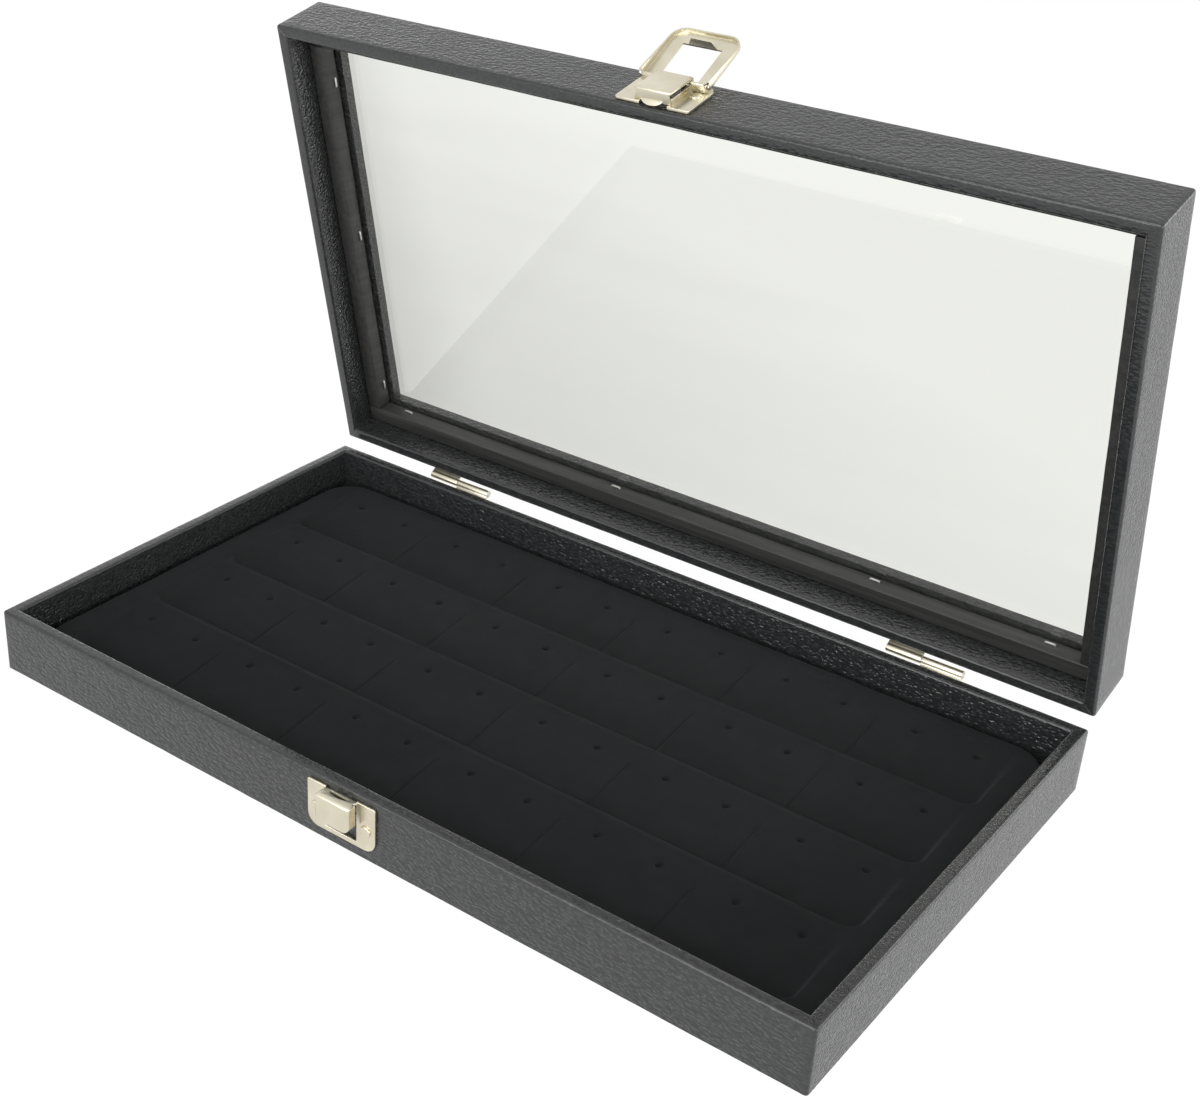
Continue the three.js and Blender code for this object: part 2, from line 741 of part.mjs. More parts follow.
// Hinges with their nails
[["left", -hinge_centre], ["right", hinge_centre]].forEach(([name, x]) => {
  const at = [x, hinge_y, hinge_z];
  addPiece(group, `hinge_${name}_base_leaf`, hingeLeaf("base"), finishes.nickel, at);
  addPiece(lid_pieces, `hinge_${name}_lid_leaf`, hingeLeaf("lid"), finishes.nickel, at);
  const pin = rodAlongX(hinge_pin_radius, [-hinge_length / 2, hinge_length / 2], round_steps);
  addPiece(group, `hinge_${name}_pin`, pin, finishes.steel, at);
});
const nail = domedFastener(nail_head_radius, nail_head_height, nail_shank_radius, nail_length);
base_nails.forEach((at, index) => {
  addPiece(group, `base_hinge_nail_${index + 1}`, placed(nail, Math.PI, at), finishes.steel);
});
lid_nails.forEach((at, index) => {
  addPiece(lid_pieces, `lid_hinge_nail_${index + 1}`, placed(nail, Math.PI, at), finishes.steel);
});

// Latch plates and rivets
const catch_at = [latch_centre, -half_depth, base_height];
const catch_plate = addPiece(group, "catch_plate", catchPlate(), finishes.nickel, catch_at);
catch_plate.rotation.y = Math.PI;
addPiece(lid_pieces, "bail_plate", bailPlate(), finishes.nickel, [latch_centre, -half_depth, lid_bottom]);
const rivet = domedFastener(rivet_head_radius, rivet_head_height, rivet_shank_radius, rivet_length);
base_rivets.forEach((at, index) => {
  addPiece(group, `catch_rivet_${index + 1}`, placed(rivet, 0, at), finishes.nickel);
});
lid_rivets.forEach((at, index) => {
  addPiece(lid_pieces, `bail_plate_rivet_${index + 1}`, placed(rivet, 0, at), finishes.nickel);
});

// Rod and bail, folded back from the rim
const bail = new THREE.Group();
bail.position.set(latch_centre, -half_depth - rod_height, lid_bottom + rod_from_rim);
lid_pieces.add(bail);
const rod_half = bail_width / 2;
addPiece(bail, "bail_rod", rodAlongX(rod_radius, [-rod_half, rod_half], small_round_steps), finishes.steel);
const frame = addPiece(bail, "bail_frame", bailFrame(), finishes.nickel);
frame.rotation.x = THREE.MathUtils.degToRad(bail_rest_deg);

export default group;
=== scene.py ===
import bpy
import bmesh
import json
import math
import numpy as np
from mathutils import Matrix, Vector, noise


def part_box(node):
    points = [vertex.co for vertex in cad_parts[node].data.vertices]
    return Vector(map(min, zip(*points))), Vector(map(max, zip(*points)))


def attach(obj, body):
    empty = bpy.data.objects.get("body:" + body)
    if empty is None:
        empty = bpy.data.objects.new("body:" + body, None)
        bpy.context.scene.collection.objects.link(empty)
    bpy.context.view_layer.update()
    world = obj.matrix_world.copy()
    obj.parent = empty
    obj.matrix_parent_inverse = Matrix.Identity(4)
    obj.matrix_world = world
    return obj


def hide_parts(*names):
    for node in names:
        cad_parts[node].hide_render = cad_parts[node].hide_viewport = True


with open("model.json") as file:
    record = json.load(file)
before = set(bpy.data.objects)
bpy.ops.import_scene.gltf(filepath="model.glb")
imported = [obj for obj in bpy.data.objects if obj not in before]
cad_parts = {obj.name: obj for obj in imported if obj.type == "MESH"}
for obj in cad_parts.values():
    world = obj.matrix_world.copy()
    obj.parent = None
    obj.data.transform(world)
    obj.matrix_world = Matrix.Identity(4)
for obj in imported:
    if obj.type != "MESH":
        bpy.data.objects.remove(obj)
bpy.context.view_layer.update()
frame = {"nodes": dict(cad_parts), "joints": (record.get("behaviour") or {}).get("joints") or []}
nodes = frame["nodes"]


# Camera: a product shot from the front right, looking down on the open case.
# The long side runs away to the upper left and the lid stands behind it.
def add_object(name, data):
    object_ = bpy.data.objects.new(name, data)
    bpy.context.scene.collection.objects.link(object_)
    return object_


camera_place = Vector((0.3569, -0.5049, 0.4173))
view_right = Vector((0.78067, 0.62447, 0.02446))
view_up = Vector((-0.31586, 0.36049, 0.87766))
view_back = Vector((0.53925, -0.69288, 0.47867))
camera_data = bpy.data.cameras.new("product_camera")
camera_data.lens = 55.82
camera_data.sensor_width = 36.0
camera_data.shift_x = 0.1203
camera_data.shift_y = -0.0036
camera_data.clip_start = 0.01
camera_data.clip_end = 50.0
camera = add_object("product_camera", camera_data)
axes = Matrix((view_right, view_up, view_back)).transposed()
camera.matrix_world = Matrix.Translation(camera_place) @ axes.to_4x4()
bpy.context.scene.camera = camera


# Boards: fibreboard walls, rails and floor, cut to a mitre and glued.
# The covering hides all but their undersides and the floor inside, which is lined with black paper.
def feed(tree, node, inputs):
    """Gives inputs of a node their values; another node, or an output of one, is linked instead."""
    for name, value in inputs.items():
        if isinstance(value, bpy.types.Node):
            value = value.outputs[0]
        if isinstance(value, bpy.types.NodeSocket):
            tree.links.new(value, node.inputs[name])
        else:
            node.inputs[name].default_value = value


def add_node(tree, kind, inputs, **settings):
    node = tree.nodes.new(kind)
    for name, value in settings.items():
        setattr(node, name, value)
    feed(tree, node, inputs)
    return node


def reckon(tree, operation, *values):
    """One step of arithmetic."""
    return add_node(tree, "ShaderNodeMath", dict(enumerate(values)), operation=operation)


def new_material(name):
    material = bpy.data.materials.new(name)
    material.use_nodes = True
    tree = material.node_tree
    place = add_node(tree, "ShaderNodeTexCoord", {}).outputs["Object"]
    return material, tree, tree.nodes["Principled BSDF"], place


def stretched(tree, place, turned, shares):
    return add_node(tree, "ShaderNodeMapping", {"Vector": place, "Rotation": turned, "Scale": shares})


def noise_field(tree, place, scale, detail=3.0, roughness=0.55):
    inputs = {"Vector": place, "Scale": scale, "Detail": detail, "Roughness": roughness}
    return add_node(tree, "ShaderNodeTexNoise", inputs)


def ramp(tree, field, *stops):
    """Colours laid along a field, each stop (share of the way, colour)."""
    node = add_node(tree, "ShaderNodeValToRGB", {"Fac": field})
    elements = node.color_ramp.elements
    while len(elements) < len(stops):
        elements.new(0.5)
    for element, (share, colour) in zip(elements, stops):
        element.position = share
        element.color = (*colour, 1.0)
    return node


def level(tree, field, low, high):
    """The field from 0 to 1 laid out from low to high."""
    return add_node(tree, "ShaderNodeMapRange", {"Value": field, "To Min": low, "To Max": high})


def relief(tree, *layers):
    """The normal of a surface raised by layers, each (field, depth, strength)."""
    below = {}
    for field, depth, strength in layers:
        inputs = {"Height": field, "Distance": depth, "Strength": strength} | below
        below = {"Normal": add_node(tree, "ShaderNodeBump", inputs)}
    return below["Normal"]


def dress(object_, material):
    object_.data.materials.clear()
    object_.data.materials.append(material)


board_dark, board_light = (0.16, 0.10, 0.055), (0.30, 0.20, 0.12)
board_tooth = 0.0002
board, tree, surface, place = new_material("fibreboard")
fleck = noise_field(tree, place, scale=900.0, detail=4.0, roughness=0.7)
feed(tree, surface, {
    "Base Color": ramp(tree, fleck, (0.3, board_dark), (0.7, board_light)),
    "Roughness": level(tree, noise_field(tree, place, scale=40.0), low=0.72, high=0.9),
    "Normal": relief(tree, (fleck, board_tooth, 0.4))})
for name, node in nodes.items():
    if name.startswith(("base_wall", "lid_rail")):
        dress(node, board)

paper_dark, paper_light = (0.018, 0.018, 0.018), (0.030, 0.030, 0.030)
paper_thickness = 0.0002
paper_lift = 0.6
floor_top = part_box("base_floor")[1].z
lined_board, tree, surface, place = new_material("lined_fibreboard")
# Bare board keeps its tone below a half, and the paper lifts it above.
fleck = noise_field(tree, place, scale=900.0, detail=4.0, roughness=0.7)
papered = add_node(tree, "ShaderNodeMapRange", {
    "Value": add_node(tree, "ShaderNodeSeparateXYZ", {"Vector": place}).outputs["Z"],
    "From Min": floor_top - paper_thickness,
    "From Max": floor_top - paper_thickness / 2,
    "To Max": paper_lift})
tone = reckon(tree, "MULTIPLY_ADD", fleck, 0.5, papered)
tones = (0.15, board_dark), (0.35, board_light), (0.75, paper_dark), (0.95, paper_light)
feed(tree, surface, {
    "Base Color": ramp(tree, tone, *tones),
    "Roughness": 0.85,
    "Normal": relief(tree, (fleck, board_tooth, 0.4))})
dress(nodes["base_floor"], lined_board)


# Base covering: black pebbled leatherette glued over the outside, the rim and the inside of the walls.
# Its edges are soft where the sheet turns over the boards, and folds and corners draw its grain smooth.
def vector_step(tree, operation, inputs):
    """One step of arithmetic on vectors."""
    return add_node(tree, "ShaderNodeVectorMath", inputs, operation=operation)


# The base colour is painted darker in the pebbles' hollows and lighter on their crowns: painted shade in the
# hollows.
leather_shaded_hollow, leather_lit_crown = (0.022, 0.023, 0.024), (0.036, 0.037, 0.038)
crown_depth = 0.00034
grain_depth = 0.00003
stray_length = 0.0014
leatherette, tree, surface, place = new_material("leatherette")
wander = noise_field(tree, place, scale=420.0, detail=2.0, roughness=0.5).outputs["Color"]
strayed = vector_step(tree, "SCALE", {"Vector": wander, "Scale": stray_length})
drawn_out = stretched(tree, place, (0, 0, 0), (0.5, 0.85, 1))
pebble_place = vector_step(tree, "ADD", {0: drawn_out, 1: strayed})
pebble_inputs = {"Vector": pebble_place, "Scale": 950.0, "Smoothness": 0.5}
pebble = add_node(tree, "ShaderNodeTexVoronoi", pebble_inputs, feature="SMOOTH_F1")
crown = level(tree, pebble, low=1.0, high=0.0)
grain = noise_field(tree, place, scale=2600.0, detail=2.0, roughness=0.6)
drawn_smooth = add_node(tree, "ShaderNodeAttribute", {}, attribute_name="stretch").outputs["Fac"]
crown_strength = level(tree, drawn_smooth, low=1.0, high=0.3)
feed(tree, surface, {
    "Base Color": ramp(tree, crown, (0.30, leather_shaded_hollow), (0.75, leather_lit_crown)),
    "Roughness": level(tree, noise_field(tree, place, scale=22.0), low=0.18, high=0.27),
    "IOR": 1.56,
    "Normal": relief(tree, (crown, crown_depth, crown_strength), (grain, grain_depth, 0.4))})

half_width, half_depth, base_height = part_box("base_covering")[1]
covering_thickness = 0.0006
covering_foot = 0.00325
rim_width = 0.0052
rim_radius = 0.0011
corner_radius = 0.0013
corner_stretch = 0.85
fold_reach = 0.00176
fold_depth = 0.00018
wall_steps = 9
rim_steps = 3
turn_steps = 5
side_step = 0.004
tolerance = 0.00001


def turn(inset, height, radius, start_deg, end_deg):
    """An arc of a section, round the point at an inset and a height."""
    angles = [math.radians(start_deg + (end_deg - start_deg) * i / turn_steps) for i in range(turn_steps + 1)]
    return [(inset + radius * math.cos(a), height + radius * math.sin(a)) for a in angles]


def rise(start, end, steps):
    """The points between two ends, without them."""
    return [tuple(a + (b - a) * i / steps for a, b in zip(start, end)) for i in range(1, steps)]


def ring_points(inset, height, fold=0.0):
    """One turn round the case at an inset from the outside, its corners rounded and, on a rim, creased."""
    radius = max(corner_radius - inset, covering_thickness / 2)
    x, y = half_width - inset - radius, half_depth - inset - radius
    corners = [(x, -y, -90), (x, y, 0), (-x, y, 90), (-x, -y, 180)]
    points = []
    for index, (x, y, start) in enumerate(corners):
        for step in range(turn_steps + 1):
            angle = math.radians(start + 90 * step / turn_steps)
            sunk = fold if step in (turn_steps // 2, turn_steps // 2 + 1) else 0.0
            points.append((x + radius * math.cos(angle), y + radius * math.sin(angle), height + sunk))
        next_x, next_y, next_start = corners[(index + 1) % len(corners)]
        angle = math.radians(next_start)
        end = (next_x + radius * math.cos(angle), next_y + radius * math.sin(angle))
        length = half_depth if index % 2 == 0 else half_width
        points += [(*point, height) for point in rise(points[-1][:2], end, round(2 * length / side_step))]
    return points


def mesh_object(name, points, faces, material, matrix=None):
    """A smooth object with its faces outwards, moved to its place within its mesh."""
    mesh = bpy.data.meshes.new(name)
    mesh.from_pydata(points, [], faces)
    shape = bmesh.new()
    shape.from_mesh(mesh)
    bmesh.ops.recalc_face_normals(shape, faces=shape.faces)
    shape.to_mesh(mesh)
    shape.free()
    if matrix is not None:
        mesh.transform(matrix)
    mesh.materials.append(material)
    mesh.shade_smooth()
    return add_object(name, mesh)


def stretch_at(inset, height, folds):
    """How far the sheet is pulled smooth at a point of its section: 1 on a fold, 0 well away from one."""
    gaps = [max(abs(height - fold_height), low - inset, inset - high) for low, high, fold_height in folds]
    return min(max((fold_reach - min(gaps)) / rim_radius, 0.0), 1.0)


def ring_object(name, section, folds, crease, matrix=None):
    """A sheet glued round the case; each fold is (lowest inset, highest inset, height), the rim's first."""
    rim_height = folds[0][2]
    loops = [ring_points(inset, height, crease if abs(height - rim_height) < tolerance else 0.0)
             for inset, height in section]
    stretches = []
    for loop, (inset, height) in zip(loops, section):
        along = stretch_at(inset, height, folds)
        for point in loop:
            from_corner = max(half_width - inset - abs(point[0]), half_depth - inset - abs(point[1]))
            stretches.append(max(along, corner_stretch if from_corner < corner_radius + tolerance else 0.0))
    count = len(loops[0])
    faces = []
    for row in range(len(loops)):
        near, far = row * count, (row + 1) % len(loops) * count
        for column in range(count):
            following = (column + 1) % count
            faces.append((near + column, near + following, far + following, far + column))
    object_ = mesh_object(name, [point for loop in loops for point in loop], faces, leatherette, matrix)
    attribute = object_.data.attributes.new("stretch", "FLOAT", "POINT")
    attribute.data.foreach_set("value", stretches)
    return object_


uneven_sharp_deg = 50


def uneven(object_, height, length, seed):
    """A glued or sawn surface lies a hair uneven, by a height and in waves of a length."""
    offset = Vector((seed, 2 * seed, 3 * seed))
    normals = [vertex.normal.copy() for vertex in object_.data.vertices]
    for vertex, normal in zip(object_.data.vertices, normals):
        vertex.co += normal * height * noise.noise(vertex.co / length + offset)
    object_.data.set_sharp_from_angle(angle=math.radians(uneven_sharp_deg))


top = base_height
inner = rim_width - covering_thickness
base_section = (
    [(0, 0)]
    + rise((0, 0), (0, top - rim_radius), wall_steps)
    + turn(rim_radius, top - rim_radius, rim_radius, 180, 90)
    + rise((rim_radius, top), (rim_width - rim_radius, top), rim_steps)
    + turn(rim_width - rim_radius, top - rim_radius, rim_radius, 90, 0)
    + rise((rim_width, top - rim_radius), (rim_width, covering_foot), wall_steps)
    + [(rim_width, covering_foot), (inner, covering_foot), (inner, top - covering_thickness)]
    + [(covering_thickness, top - covering_thickness), (covering_thickness, 0)])
wrap_height = 0.00007
wrap_length = 0.011
base_sheet = ring_object("base_leatherette", base_section, [(0.0, rim_width, top)], -fold_depth)
uneven(base_sheet, wrap_height, wrap_length, seed=3.0)
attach(base_sheet, "base")
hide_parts("base_covering")


# Earring insert: one thin sheet formed into four ramped rows, then flocked black.
# It lies loose on the floor, so it rides on its own body and lifts out.
flock_dark, flock_light = (0.0184, 0.0192, 0.0199), (0.0254, 0.0264, 0.0271)
fibre_depth = 0.00012
nap_depth = 0.0002
flock, tree, surface, place = new_material("flock")
fibre = noise_field(tree, place, scale=5200.0, detail=2.0, roughness=0.7)
nap = noise_field(tree, place, scale=120.0, detail=4.0, roughness=0.6)
patch = noise_field(tree, place, scale=14.0, detail=3.0, roughness=0.5)
tone = reckon(tree, "MULTIPLY_ADD", nap, 0.5, level(tree, patch, low=0.1, high=0.4))
feed(tree, surface, {
    "Base Color": ramp(tree, tone, (0.3, flock_dark), (0.7, flock_light)),
    "Roughness": 0.95,
    "Specular IOR Level": 0.15,
    "Sheen Weight": 0.04,
    "Sheen Roughness": 0.45,
    "Sheen Tint": (0.75, 0.82, 0.9, 1.0),
    "Normal": relief(tree, (fibre, fibre_depth, 0.5), (nap, nap_depth, 0.25))})

insert_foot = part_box("earring_insert")[0].z
insert_half_x, insert_half_y, insert_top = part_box("earring_insert")[1]
insert_corner = 0.015
insert_edge = 0.0018
edge_steps = 5
side_border = 0.0114
front_border = 0.01105
back_border = 0.00365
row_count = 4
column_count = 6
cell_pitch = 0.057
row_pitch = (2 * insert_half_y - front_border - back_border) / row_count
ridge_width = 0.003
ramp_drop = 0.0052
ramp_sag_share = 0.25
pocket_corner = 0.006
pocket_half = insert_half_x - side_border
form_radius = 0.0016
form_lead_share = 0.35
crest_height = 0.0003
crest_width = 0.0022
crest_fade = 0.004
divider_depth = 0.0006
divider_width = 0.000585
divider_start = 0.0005
divider_front_fade = 0.002
divider_stop = 0.0078
divider_back_fade = 0.006
hole_radius = 0.0009
hole_wall = 0.0006
hole_depth = 0.0016
hole_offset = 0.013
hole_from_ridge = 0.0091
dimple_radius = 0.0027
dimple_depth = 0.0004
row_length = row_pitch - ridge_width
rows = [front_border - insert_half_y + row * row_pitch for row in range(row_count)]
dividers = [(column - column_count / 2) * cell_pitch for column in range(1, column_count)]
hole_rows = [front + row_length - hole_from_ridge for front in rows]
hole_columns = [
    (column + 0.5 - column_count / 2) * cell_pitch + side * hole_offset
    for column in range(column_count) for side in (-1, 1)]


def smooth_step(value):
    value = np.clip(value, 0, 1)
    return value * value * (3 - 2 * value)


def hill(distance, width):
    return np.exp(-(distance / width) ** 2)


def insert_height(x, y):
    """Height of the flocked face over a point of the insert."""
    height = np.full(np.broadcast(x, y).shape, insert_top)
    for front in rows:
        back = front + row_length
        share = np.clip((y - front) / row_length, 0, 1)
        gap_x = np.maximum(np.abs(x) - (pocket_half - pocket_corner), 0)
        gap_y = np.maximum(np.abs(y - (front + back) / 2) - (row_length / 2 - pocket_corner), 0)
        inside = pocket_corner - np.hypot(gap_x, gap_y)
        wall = smooth_step(inside / (2 * form_radius) + form_lead_share)
        height -= ramp_drop * (1 - share) * (1 - ramp_sag_share * share) * wall
        crest = hill(y - back, crest_width) * smooth_step((pocket_half - np.abs(x)) / crest_fade)
        height += crest_height * crest
        along = (smooth_step((y - front - divider_start) / divider_front_fade)
                 * smooth_step((back - divider_stop - y) / divider_back_fade))
        for line in dividers:
            height -= divider_depth * hill(x - line, divider_width) * along
    for hole_y in hole_rows:
        for hole_x in hole_columns:
            distance = np.hypot(x - hole_x, y - hole_y)
            height -= hole_depth * (1 - smooth_step((distance - hole_radius) / hole_wall))
            height -= dimple_depth * hill(distance, dimple_radius)
    return height


coarse_x = 0.0022
coarse_y = 0.0024
least_step = 0.00018
hole_reach, hole_step = 0.0021, 0.00042
divider_reach, divider_step = 0.0012, 0.0004
pocket_reach, pocket_step = 0.0024, 0.0006
ridge_reach, ridge_step = 0.0036, 0.00045
front_reach = 0.0018


def fine_lines(reach_out, coarse, places):
    """Grid lines from side to side, closer together near the given (place, half reach, step) triples."""
    low, high = round(-reach_out, 6), round(reach_out, 6)
    lines = set(np.round(np.linspace(-reach_out, reach_out, round(2 * reach_out / coarse) + 1), 6))
    for middle, reach, step in places:
        lines = {line for line in lines if abs(line - middle) > reach or line in (low, high)}
        count = round(reach / step)
        closer = [middle + step * i for i in range(-count, count + 1)]
        lines |= {round(line, 6) for line in closer if -reach_out < line < reach_out}
    ordered = sorted(lines)
    kept = [ordered[0]]
    for line in ordered[1:-1]:
        if line - kept[-1] > least_step and ordered[-1] - line > least_step:
            kept.append(line)
    return np.array(kept + [ordered[-1]])


flat_x = insert_half_x - insert_edge
flat_y = insert_half_y - insert_edge
x_lines = fine_lines(
    flat_x, coarse_x,
    [(line, divider_reach, divider_step) for line in dividers]
    + [(hole, hole_reach, hole_step) for hole in hole_columns]
    + [(side * pocket_half, pocket_reach, pocket_step) for side in (-1, 1)])
y_lines = fine_lines(
    flat_y, coarse_y,
    [(hole, hole_reach, hole_step) for hole in hole_rows]
    + [(front + row_length + ridge_width / 2, ridge_reach, ridge_step) for front in rows]
    + [(rows[0], front_reach, ridge_step)])
grid_x, grid_y = np.meshgrid(x_lines, y_lines, indexing="ij")
plan_corner = insert_corner - insert_edge


def over_corner(grid, flat):
    """How far a grid line reaches into the rounded corners, from 0 to 1."""
    return np.clip((np.abs(grid) - (flat - plan_corner)) / plan_corner, 0, 1)


def drawn_in(grid, flat, over, over_other):
    """The square grid's corners drawn in to a round."""
    into_corner = plan_corner * over * np.sqrt(1 - over_other ** 2 / 2)
    return np.sign(grid) * (np.minimum(np.abs(grid), flat - plan_corner) + into_corner)


over_x = over_corner(grid_x, flat_x)
over_y = over_corner(grid_y, flat_y)
plan_x = drawn_in(grid_x, flat_x, over_x, over_y)
plan_y = drawn_in(grid_y, flat_y, over_y, over_x)
face_points = np.stack([plan_x, plan_y, insert_height(plan_x, plan_y)], axis=-1).reshape(-1, 3)
insert_points = [tuple(point) for point in face_points]
count_x, count_y = grid_x.shape
insert_faces = [
    (i * count_y + j, (i + 1) * count_y + j, (i + 1) * count_y + j + 1, i * count_y + j + 1)
    for i in range(count_x - 1) for j in range(count_y - 1)]
edge_loop = (
    [i * count_y for i in range(count_x)]
    + [(count_x - 1) * count_y + j for j in range(1, count_y)]
    + [i * count_y + count_y - 1 for i in range(count_x - 2, -1, -1)]
    + [j for j in range(count_y - 2, 0, -1)])
rim_points = np.array([insert_points[i] for i in edge_loop])
ahead = np.roll(rim_points, -1, axis=0) - np.roll(rim_points, 1, axis=0)
outward = np.stack([ahead[:, 1], -ahead[:, 0], np.zeros(len(ahead))], axis=-1)
outward /= np.linalg.norm(outward, axis=1)[:, None]
down = np.array([0, 0, -1.0])
edge_turns = [math.radians(90 * i / edge_steps) for i in range(1, edge_steps + 1)]
skirt = [rim_points + insert_edge * (outward * math.sin(a) + down * (1 - math.cos(a))) for a in edge_turns]
folded_down = skirt[-1]
for share in (0.5, 1.0):
    wall = folded_down.copy()
    wall[:, 2] += (insert_foot - wall[:, 2]) * share
    skirt.append(wall)
previous = edge_loop
for loop in skirt:
    following = list(range(len(insert_points), len(insert_points) + len(loop)))
    insert_points += [tuple(point) for point in loop]
    for i in range(len(loop)):
        j = (i + 1) % len(loop)
        insert_faces.append((previous[i], following[i], following[j], previous[j]))
    previous = following
form_unevenness = 0.00018
form_wave = 0.02
foot_fade = 0.004
insert_form = mesh_object("earring_pad", insert_points, insert_faces, flock)
for vertex in insert_form.data.vertices:
    from_foot = min(1.0, (vertex.co.z - insert_foot) / foot_fade)
    vertex.co.z += form_unevenness * noise.noise(vertex.co / form_wave) * from_foot
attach(insert_form, "insert")
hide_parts("earring_insert")


# Lid covering: the same leatherette, glued round the lid's walls and over the lip that carries the glass.
# It is drawn shut and then swung open about the hinges.
lid_hinge = next(joint for joint in frame["joints"] if joint["name"] == "lid_hinge")
hinge_point = Vector(lid_hinge["pos_m"])
lid_turn = math.radians(lid_hinge["range_deg"][0])
to_hinge = Matrix.Translation(hinge_point)
lid_open = to_hinge @ Matrix.Rotation(lid_turn, 4, "X") @ to_hinge.inverted()
lid_depth = 0.027
lid_foot = 2 * hinge_point.z - base_height
lid_top = lid_foot + lid_depth
lip_width = 0.0145
lip_thickness = 0.005
lip_seat = lid_top - lip_thickness
lip_wrap = 0.00012
lip_gap = 0.00025
lip_under = lip_seat - lip_gap
lip_steps = 4
lip_back = rim_width + 2 * lip_wrap
lid_section = (
    [(rim_width, lip_under)]
    + rise((rim_width, lip_under), (rim_width, lid_foot + rim_radius), wall_steps)
    + turn(rim_width - rim_radius, lid_foot + rim_radius, rim_radius, 0, -90)
    + turn(rim_radius, lid_foot + rim_radius, rim_radius, -90, -180)
    + rise((0, lid_foot + rim_radius), (0, lid_top - rim_radius), wall_steps)
    + turn(rim_radius, lid_top - rim_radius, rim_radius, 180, 90)
    + rise((rim_radius, lid_top), (lip_width - rim_radius, lid_top), lip_steps)
    + turn(lip_width - rim_radius, lid_top - rim_radius, rim_radius, 90, 0)
    + [(lip_width, lip_seat - lip_wrap), (lip_back, lip_seat - lip_wrap), (lip_back, lip_seat)]
    + [(lip_width - covering_thickness, lip_seat)]
    + [(lip_width - covering_thickness, lid_top - covering_thickness)]
    + [(covering_thickness, lid_top - covering_thickness)]
    + [(covering_thickness, lid_foot + covering_thickness), (inner, lid_foot + covering_thickness)]
    + [(inner, lip_under)])
lid_folds = [(0.0, rim_width, lid_foot), (0.0, 0.0, lid_top), (lip_width, lip_width, lid_top)]
lid_sheet = ring_object("lid_leatherette", lid_section, lid_folds, fold_depth, lid_open)
uneven(lid_sheet, wrap_height, wrap_length, seed=5.0)
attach(lid_sheet, "lid")
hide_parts("lid_covering")


# Glass pane: plain float glass, dropped in against the lip from inside.
# Daylight passes through it, so its shadow is faint.
glass_thickness = 0.003
ripple_depth = 0.0002
glass, tree, surface, place = new_material("float_glass")
ripple = noise_field(tree, place, scale=6.0, detail=2.0)
feed(tree, surface, {
    "Base Color": (0.86, 0.87, 0.825, 1.0),
    "Roughness": 0.0,
    "IOR": 1.5,
    "Specular IOR Level": 0.18,
    "Transmission Weight": 1.0,
    "Normal": relief(tree, (ripple, ripple_depth, 0.04))})
clear = add_node(tree, "ShaderNodeBsdfTransparent", {"Color": (0.88, 0.90, 0.88, 1.0)})
in_shadow = add_node(tree, "ShaderNodeLightPath", {}).outputs["Is Shadow Ray"]
mixed = add_node(tree, "ShaderNodeMixShader", {"Fac": in_shadow, 1: surface, 2: clear})
feed(tree, tree.nodes["Material Output"], {"Surface": mixed})
dress(nodes["glass_pane"], glass)


# Glass strips: square wooden bars, stained dark and stapled to the walls behind the glass.
# The long ones run through and the short ones fit between them.
strip_width = 0.00705
strip_height = 0.0072
strip_gap = 0.00025
strip_edge = 0.0005
strip_cut = 0.006
strip_unevenness = 0.00012
strip_wave = 0.014
strip_top = lip_seat - glass_thickness
strip_foot = strip_top - strip_height
wood_dark, wood_light = (0.016, 0.0155, 0.015), (0.048, 0.0465, 0.0445)
streak_depth = 0.00012


def stained_wood(name, turned, shares):
    material, tree, surface, place = new_material(name)
    along = stretched(tree, place, turned, shares)
    streak = noise_field(tree, along, scale=420.0, detail=5.0, roughness=0.65)
    smear = noise_field(tree, along, scale=60.0, detail=3.0, roughness=0.6)
    feed(tree, surface, {
        "Base Color": ramp(tree, streak, (0.32, wood_dark), (0.72, wood_light)),
        "Roughness": level(tree, smear, low=0.35, high=0.62),
        "Normal": relief(tree, (streak, streak_depth, 0.5))})
    return material


def strip(side, low, high, material, seed):
    """A bar between two corners, its edges broken and its faces a little wavy from the saw."""
    size = Vector(high) - Vector(low)
    along = 0 if size.x > size.y else 1
    shape = bmesh.new()
    bmesh.ops.create_cube(shape, size=1.0)
    for vertex in shape.verts:
        vertex.co = Vector(low) + Vector((vertex.co[i] + 0.5) * size[i] for i in range(3))
    bmesh.ops.bevel(shape, geom=list(shape.edges), offset=strip_edge, segments=3, profile=0.5, affect="EDGES")
    long_edges = [edge for edge in shape.edges if edge.calc_length() > size[along] / 2]
    cuts = round(size[along] / strip_cut)
    bmesh.ops.subdivide_edges(shape, edges=long_edges, cuts=cuts, use_grid_fill=True)
    mesh = bpy.data.meshes.new(f"retaining_strip_{side}")
    shape.to_mesh(mesh)
    shape.free()
    mesh.transform(lid_open)
    mesh.materials.append(material)
    mesh.shade_smooth()
    object_ = add_object(mesh.name, mesh)
    uneven(object_, strip_unevenness, strip_wave, seed)
    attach(object_, "lid")
    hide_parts(f"glass_strip_{side}")


wood_long = stained_wood("stained_wood_long", (0, 0, 0), (0.03, 1, 1))
wood_short = stained_wood("stained_wood_short", (-lid_turn, 0, 0), (1, 0.03, 1))
outer_x = half_width - rim_width - strip_gap
outer_y = half_depth - rim_width - strip_gap
end_y = outer_y - strip_width - strip_gap
strip("front", (-outer_x, -outer_y, strip_foot), (outer_x, -outer_y + strip_width, strip_top), wood_long, 1.0)
strip("back", (-outer_x, outer_y - strip_width, strip_foot), (outer_x, outer_y, strip_top), wood_long, 2.0)
strip("left", (-outer_x, -end_y, strip_foot), (-outer_x + strip_width, end_y, strip_top), wood_short, 3.0)
strip("right", (outer_x - strip_width, -end_y, strip_foot), (outer_x, end_y, strip_top), wood_short, 4.0)


